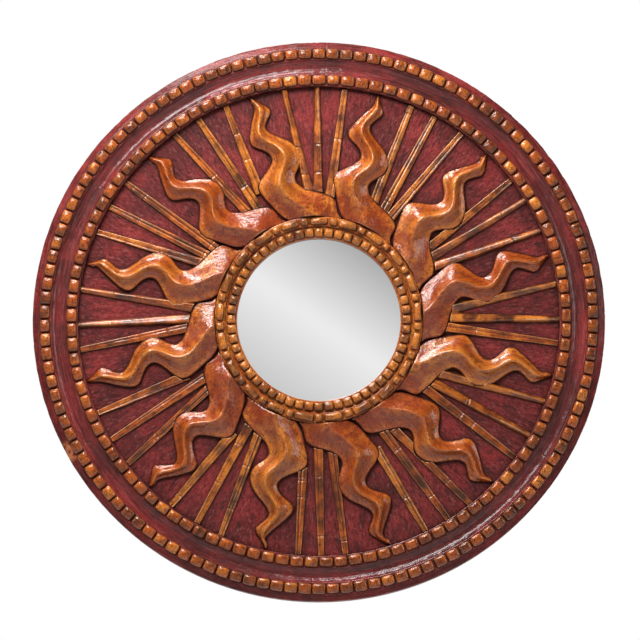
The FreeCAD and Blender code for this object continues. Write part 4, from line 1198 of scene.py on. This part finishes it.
class SUNBURST_OT_rays(bpy.types.Operator):
    """Carve and gild the straight rays, with a groove along each and nicks across it"""

    bl_idname = "sunburst.rays"
    bl_label = "Rays"

    def execute(self, context):
        # Strong pale colour on the rays' edges: rubbing, and painted highlight.
        gilt = gilded("ray_gilding", 0.0, stain=0.85, rub_and_highlight=0.45)
        carve = settings().carving
        for count, node in enumerate(RAYS):
            item = fine_copy(node, f"{node}_carved", carve.ray_mesh)
            mesh = item.data
            chance = random.Random(count)
            spots = places(mesh)
            tones = np.zeros(len(spots))
            for members in islands(edge_ends(mesh), len(spots)):
                spots[members] = self.shaped(spots[members], chance)
                tones[members] = chance.uniform(-0.5, 0.5)
            store(mesh, relaxed(spots, edge_ends(mesh), 1))
            rough_hewn(mesh, SEEDS["ray"] + count, depth_share=0.5)
            mark_wear(mesh, carve.wear_reach, WEAR_HEIGHT["ray"])
            set_value(mesh, "tone", tones)
            smooth(mesh)
            stand_in(item, node, gilt)
        return {"FINISHED"}

    def shaped(self, spots, chance):
        """A half-round rod cut to a bar with sloped edges, a groove and a few nicks."""
        carve = settings().carving
        flat = spots[:, [0, 2]]
        middle = flat.mean(0)
        spread = np.cov((flat - middle).T)
        run = np.linalg.eigh(spread)[1][:, -1]
        side = np.array((-run[1], run[0]))
        along, across = (flat - middle) @ run, (flat - middle) @ side
        height = FACE - spots[:, 1]
        half = self.half_width(along, across, height)
        wider = np.outer(across * carve.ray_spread, side)
        way = (np.abs(across) / half).clip(0, ROD_LIMIT)
        round_height = np.sqrt(1 - way**2)
        bar = ((1 - way) / carve.ray_bevel).clip(0, 1)
        bar = bar * (2 - bar) * BAR_HEIGHT
        off = chance.choice((-1, 1)) * chance.uniform(0.15, 0.4)
        groove = np.exp(-((across / half - off) ** 2) / GROOVE_SPREAD)
        groove = groove * carve.ray_groove * chance.uniform(0.4, 1.3)
        shape = (bar - groove * bar).clip(0.0, 1)
        for _ in range(chance.randint(1, 3)):
            spot = chance.uniform(along.min(), along.max())
            cut = np.exp(-(((along - spot) / carve.nick_width) ** 2))
            shape = shape * (1 - cut * carve.nick_depth * chance.uniform(0.3, 1.1))
        fresh = np.where(height > 0.3 * MM, height * shape / round_height.clip(0.17, 1), height)
        moved = spots.copy()
        moved[:, 1] = FACE - fresh
        moved[:, [0, 2]] += wider
        return moved

    def half_width(self, along, across, height):
        """The rod's half width at each point, from a straight line through its sides."""
        foot = height < FOOT_HEIGHT
        ends = np.linspace(along.min(), along.max(), SLICES)
        wide, where = [], []
        for low, high in zip(ends[1:-2], ends[2:-1]):
            here = foot & (along >= low) & (along <= high)
            if here.any():
                wide.append(np.abs(across[here]).max())
                where.append((low + high) / 2)
        slope, start = np.polyfit(where, wide, 1)
        return np.maximum(slope * along + start, LEAST_HALF_WIDTH)


class SUNBURST_OT_glass(bpy.types.Operator):
    """Silver the glass"""

    bl_idname = "sunburst.glass"
    bl_label = "Glass"

    def execute(self, context):
        dress("mirror_glass", silvered_glass())
        return {"FINISHED"}


class SUNBURST_OT_back(bpy.types.Operator):
    """Finish the battens, the backing board and its felt"""

    bl_idname = "sunburst.back"
    bl_label = "Back"

    def execute(self, context):
        tone = settings().colours
        wood = raw_board("batten_wood", tone.board, tone.board_dark, along="z")
        for side in SIDES:
            dress(f"batten_{side}", wood)
        dress("backing_board", raw_board("backing_plywood", tone.plywood, tone.board, along="z"))
        dress("felt_pad", wool_felt())
        return {"FINISHED"}


class SUNBURST_OT_hardware(bpy.types.Operator):
    """Finish the turn buttons, hangers, rings and screws"""

    bl_idname = "sunburst.hardware"
    bl_label = "Hardware"

    def execute(self, context):
        tone = settings().colours
        brass = worn_metal("button_brass", tone.brass, tone.brass_dull, (900.0, 40.0, 40.0))
        zinc = worn_metal("hanger_zinc", tone.zinc, tone.zinc_dull, (40.0, 40.0, 900.0))
        for node in BUTTONS:
            dress(node, brass)
        for side in SIDES:
            dress(f"hanger_strap_{side}", zinc)
            dress(f"hanger_ring_{side}", zinc)
        for node in SCREWS:
            dress(node, zinc)
        return {"FINISHED"}


# The card that the glass faces: its height as the upward part of a direction, how its grey slants, and its edge.
CARD_HEIGHT = 0.122
CARD_SLANT = (26.0, 37.5)
CARD_EDGE = (0.002, 0.007)
FLOOR_RADIUS = 9.0


class SUNBURST_OT_stage(bpy.types.Operator):
    """Set the camera, the lamps, the room and the floor"""

    bl_idname = "sunburst.stage"
    bl_label = "Stage"

    def execute(self, context):
        bpy.context.scene.view_settings.view_transform = "Standard"
        self.camera()
        self.lamps()
        self.room()
        self.floor()
        return {"FINISHED"}

    def camera(self):
        studio = settings().studio
        lens = bpy.data.cameras.new("photo_view")
        lens.lens = lens.sensor_width * studio.distance / studio.frame_width
        lens.clip_end = 100.0
        item = new_object("photo_view", lens)
        rise = math.radians(studio.rise)
        back = Vector((0.0, -math.cos(rise), math.sin(rise)))
        item.location = Vector(studio.aim) + back * studio.distance
        item.rotation_euler = (-back).to_track_quat("-Z", "Y").to_euler()
        bpy.context.scene.camera = item

    def lamps(self):
        studio = settings().studio
        for name, spot, size, power in (
            ("key_lamp", (-0.45, -1.12, 0.94), (0.75, 0.42), studio.key),
            ("top_lamp", (-0.40, -0.55, 1.45), (0.9, 0.3), studio.top),
            ("left_lamp", (-2.1, -1.4, 0.9), (0.8, 1.2), studio.left),
            ("right_lamp", (2.1, -1.2, 0.6), (0.8, 1.2), studio.right),
            ("front_lamp", (0.9, -2.6, -0.9), (1.6, 1.0), studio.front),
        ):
            lamp = bpy.data.lights.new(name, "AREA")
            lamp.shape = "RECTANGLE"
            lamp.size, lamp.size_y = size
            lamp.energy = power
            item = new_object(name, lamp)
            item.location = spot
            item.rotation_euler = (-Vector(spot)).to_track_quat("-Z", "Y").to_euler()

    def room(self):
        """White to the eye, an even light to the paint, and grey walls with a paler card to the glass."""
        studio = settings().studio
        world = bpy.data.worlds.new("studio_room")
        world.use_nodes = True
        room = Nodes(world.node_tree)
        sky = room.node("ShaderNodeTexCoord", output="Generated")
        x, y, z = room.outputs("ShaderNodeSeparateXYZ", {0: sky})
        rays = ("Is Camera Ray", "Is Glossy Ray", "Is Transmission Ray")
        seen, shiny, clear = room.outputs("ShaderNodeLightPath", names=rays)
        high = z - CARD_HEIGHT
        slant = x * CARD_SLANT[0] + high * CARD_SLANT[1]
        above = slant.most(0.0).least(1.2) * studio.dusk
        below = (-0.1 - slant).most(0.0).least(1.2) * studio.dusk * 0.65
        facing = (0.0 - y).step(0.0, 0.4)
        card = facing * (1.0 - (x * x + high * high).step(*CARD_EDGE))
        level = studio.card - above - below
        wall = studio.walls * (1.0 - 0.7 * z.step(0.08, 0.4))
        shown = wall + (level - wall) * card
        light = studio.room + (studio.behind - studio.room) * y.step(0.0, 0.5)
        mirrored = shiny.most(clear)
        strength = seen * studio.backdrop + (1.0 - seen) * (mirrored * shown + (1.0 - mirrored) * light)
        background = room.tree.nodes["Background"]
        background.inputs["Color"].default_value = (1.0, 1.0, 1.0, 1.0)
        room.feed(background.inputs["Strength"], strength)
        bpy.context.scene.world = world

    def floor(self):
        studio = settings().studio
        shape = bmesh.new()
        bmesh.ops.create_circle(shape, cap_ends=True, segments=96, radius=FLOOR_RADIUS)
        mesh = mesh_of(shape, "floor")
        item = new_object("floor", mesh)
        item.location = (0.0, 0.0, -studio.floor_drop)
        ground = Finish("pale_floor")
        mottle = ground.noise(ground.spot, 3.0, 3.0)
        tint = ground.mix(mottle, tuple(studio.floor), tuple(part * 0.97 for part in studio.floor))
        seen, shiny = ground.outputs("ShaderNodeLightPath", names=("Is Camera Ray", "Is Glossy Ray"))
        glow = ground.mix(seen.most(shiny), (0.0, 0.0, 0.0), (studio.glow, studio.glow, studio.glow))
        mesh.materials.append(
            ground.finish(Base_Color=tint, Roughness=0.9, Emission_Color=glow, Emission_Strength=1.0)
        )


OPERATORS = (
    SUNBURST_OT_stage,
    SUNBURST_OT_planks,
    SUNBURST_OT_rim,
    SUNBURST_OT_collar,
    SUNBURST_OT_blocks,
    SUNBURST_OT_flames,
    SUNBURST_OT_rays,
    SUNBURST_OT_glass,
    SUNBURST_OT_back,
    SUNBURST_OT_hardware,
)


class SUNBURST_PT_sidebar(bpy.types.Panel):
    """Sizes, colours and steps of the sunburst mirror"""

    bl_idname = "SUNBURST_PT_sidebar"
    bl_label = "Sunburst Mirror"
    bl_space_type = "VIEW_3D"
    bl_region_type = "UI"
    bl_category = "Sunburst"

    def draw(self, context):
        layout = self.layout
        for group in ("carving", "rim", "blocks", "colours", "studio"):
            box = layout.box()
            box.label(text=group.capitalize())
            owner = getattr(context.scene.sunburst, group)
            for name in owner.__annotations__:
                box.prop(owner, name)
        for operator in OPERATORS:
            layout.operator(operator.bl_idname)


CLASSES = (
    CarvingSizes,
    RimSizes,
    BlockSizes,
    FinishColours,
    StudioSettings,
    SunburstSettings,
    *OPERATORS,
    SUNBURST_PT_sidebar,
)


def register():
    for item in CLASSES:
        bpy.utils.register_class(item)
    bpy.types.Scene.sunburst = PointerProperty(type=SunburstSettings)


def unregister():
    del bpy.types.Scene.sunburst
    for item in reversed(CLASSES):
        bpy.utils.unregister_class(item)


def main():
    register()
    for operator in OPERATORS:
        group, name = operator.bl_idname.split(".")
        getattr(getattr(bpy.ops, group), name)()


if __name__ == "__main__":
    main()
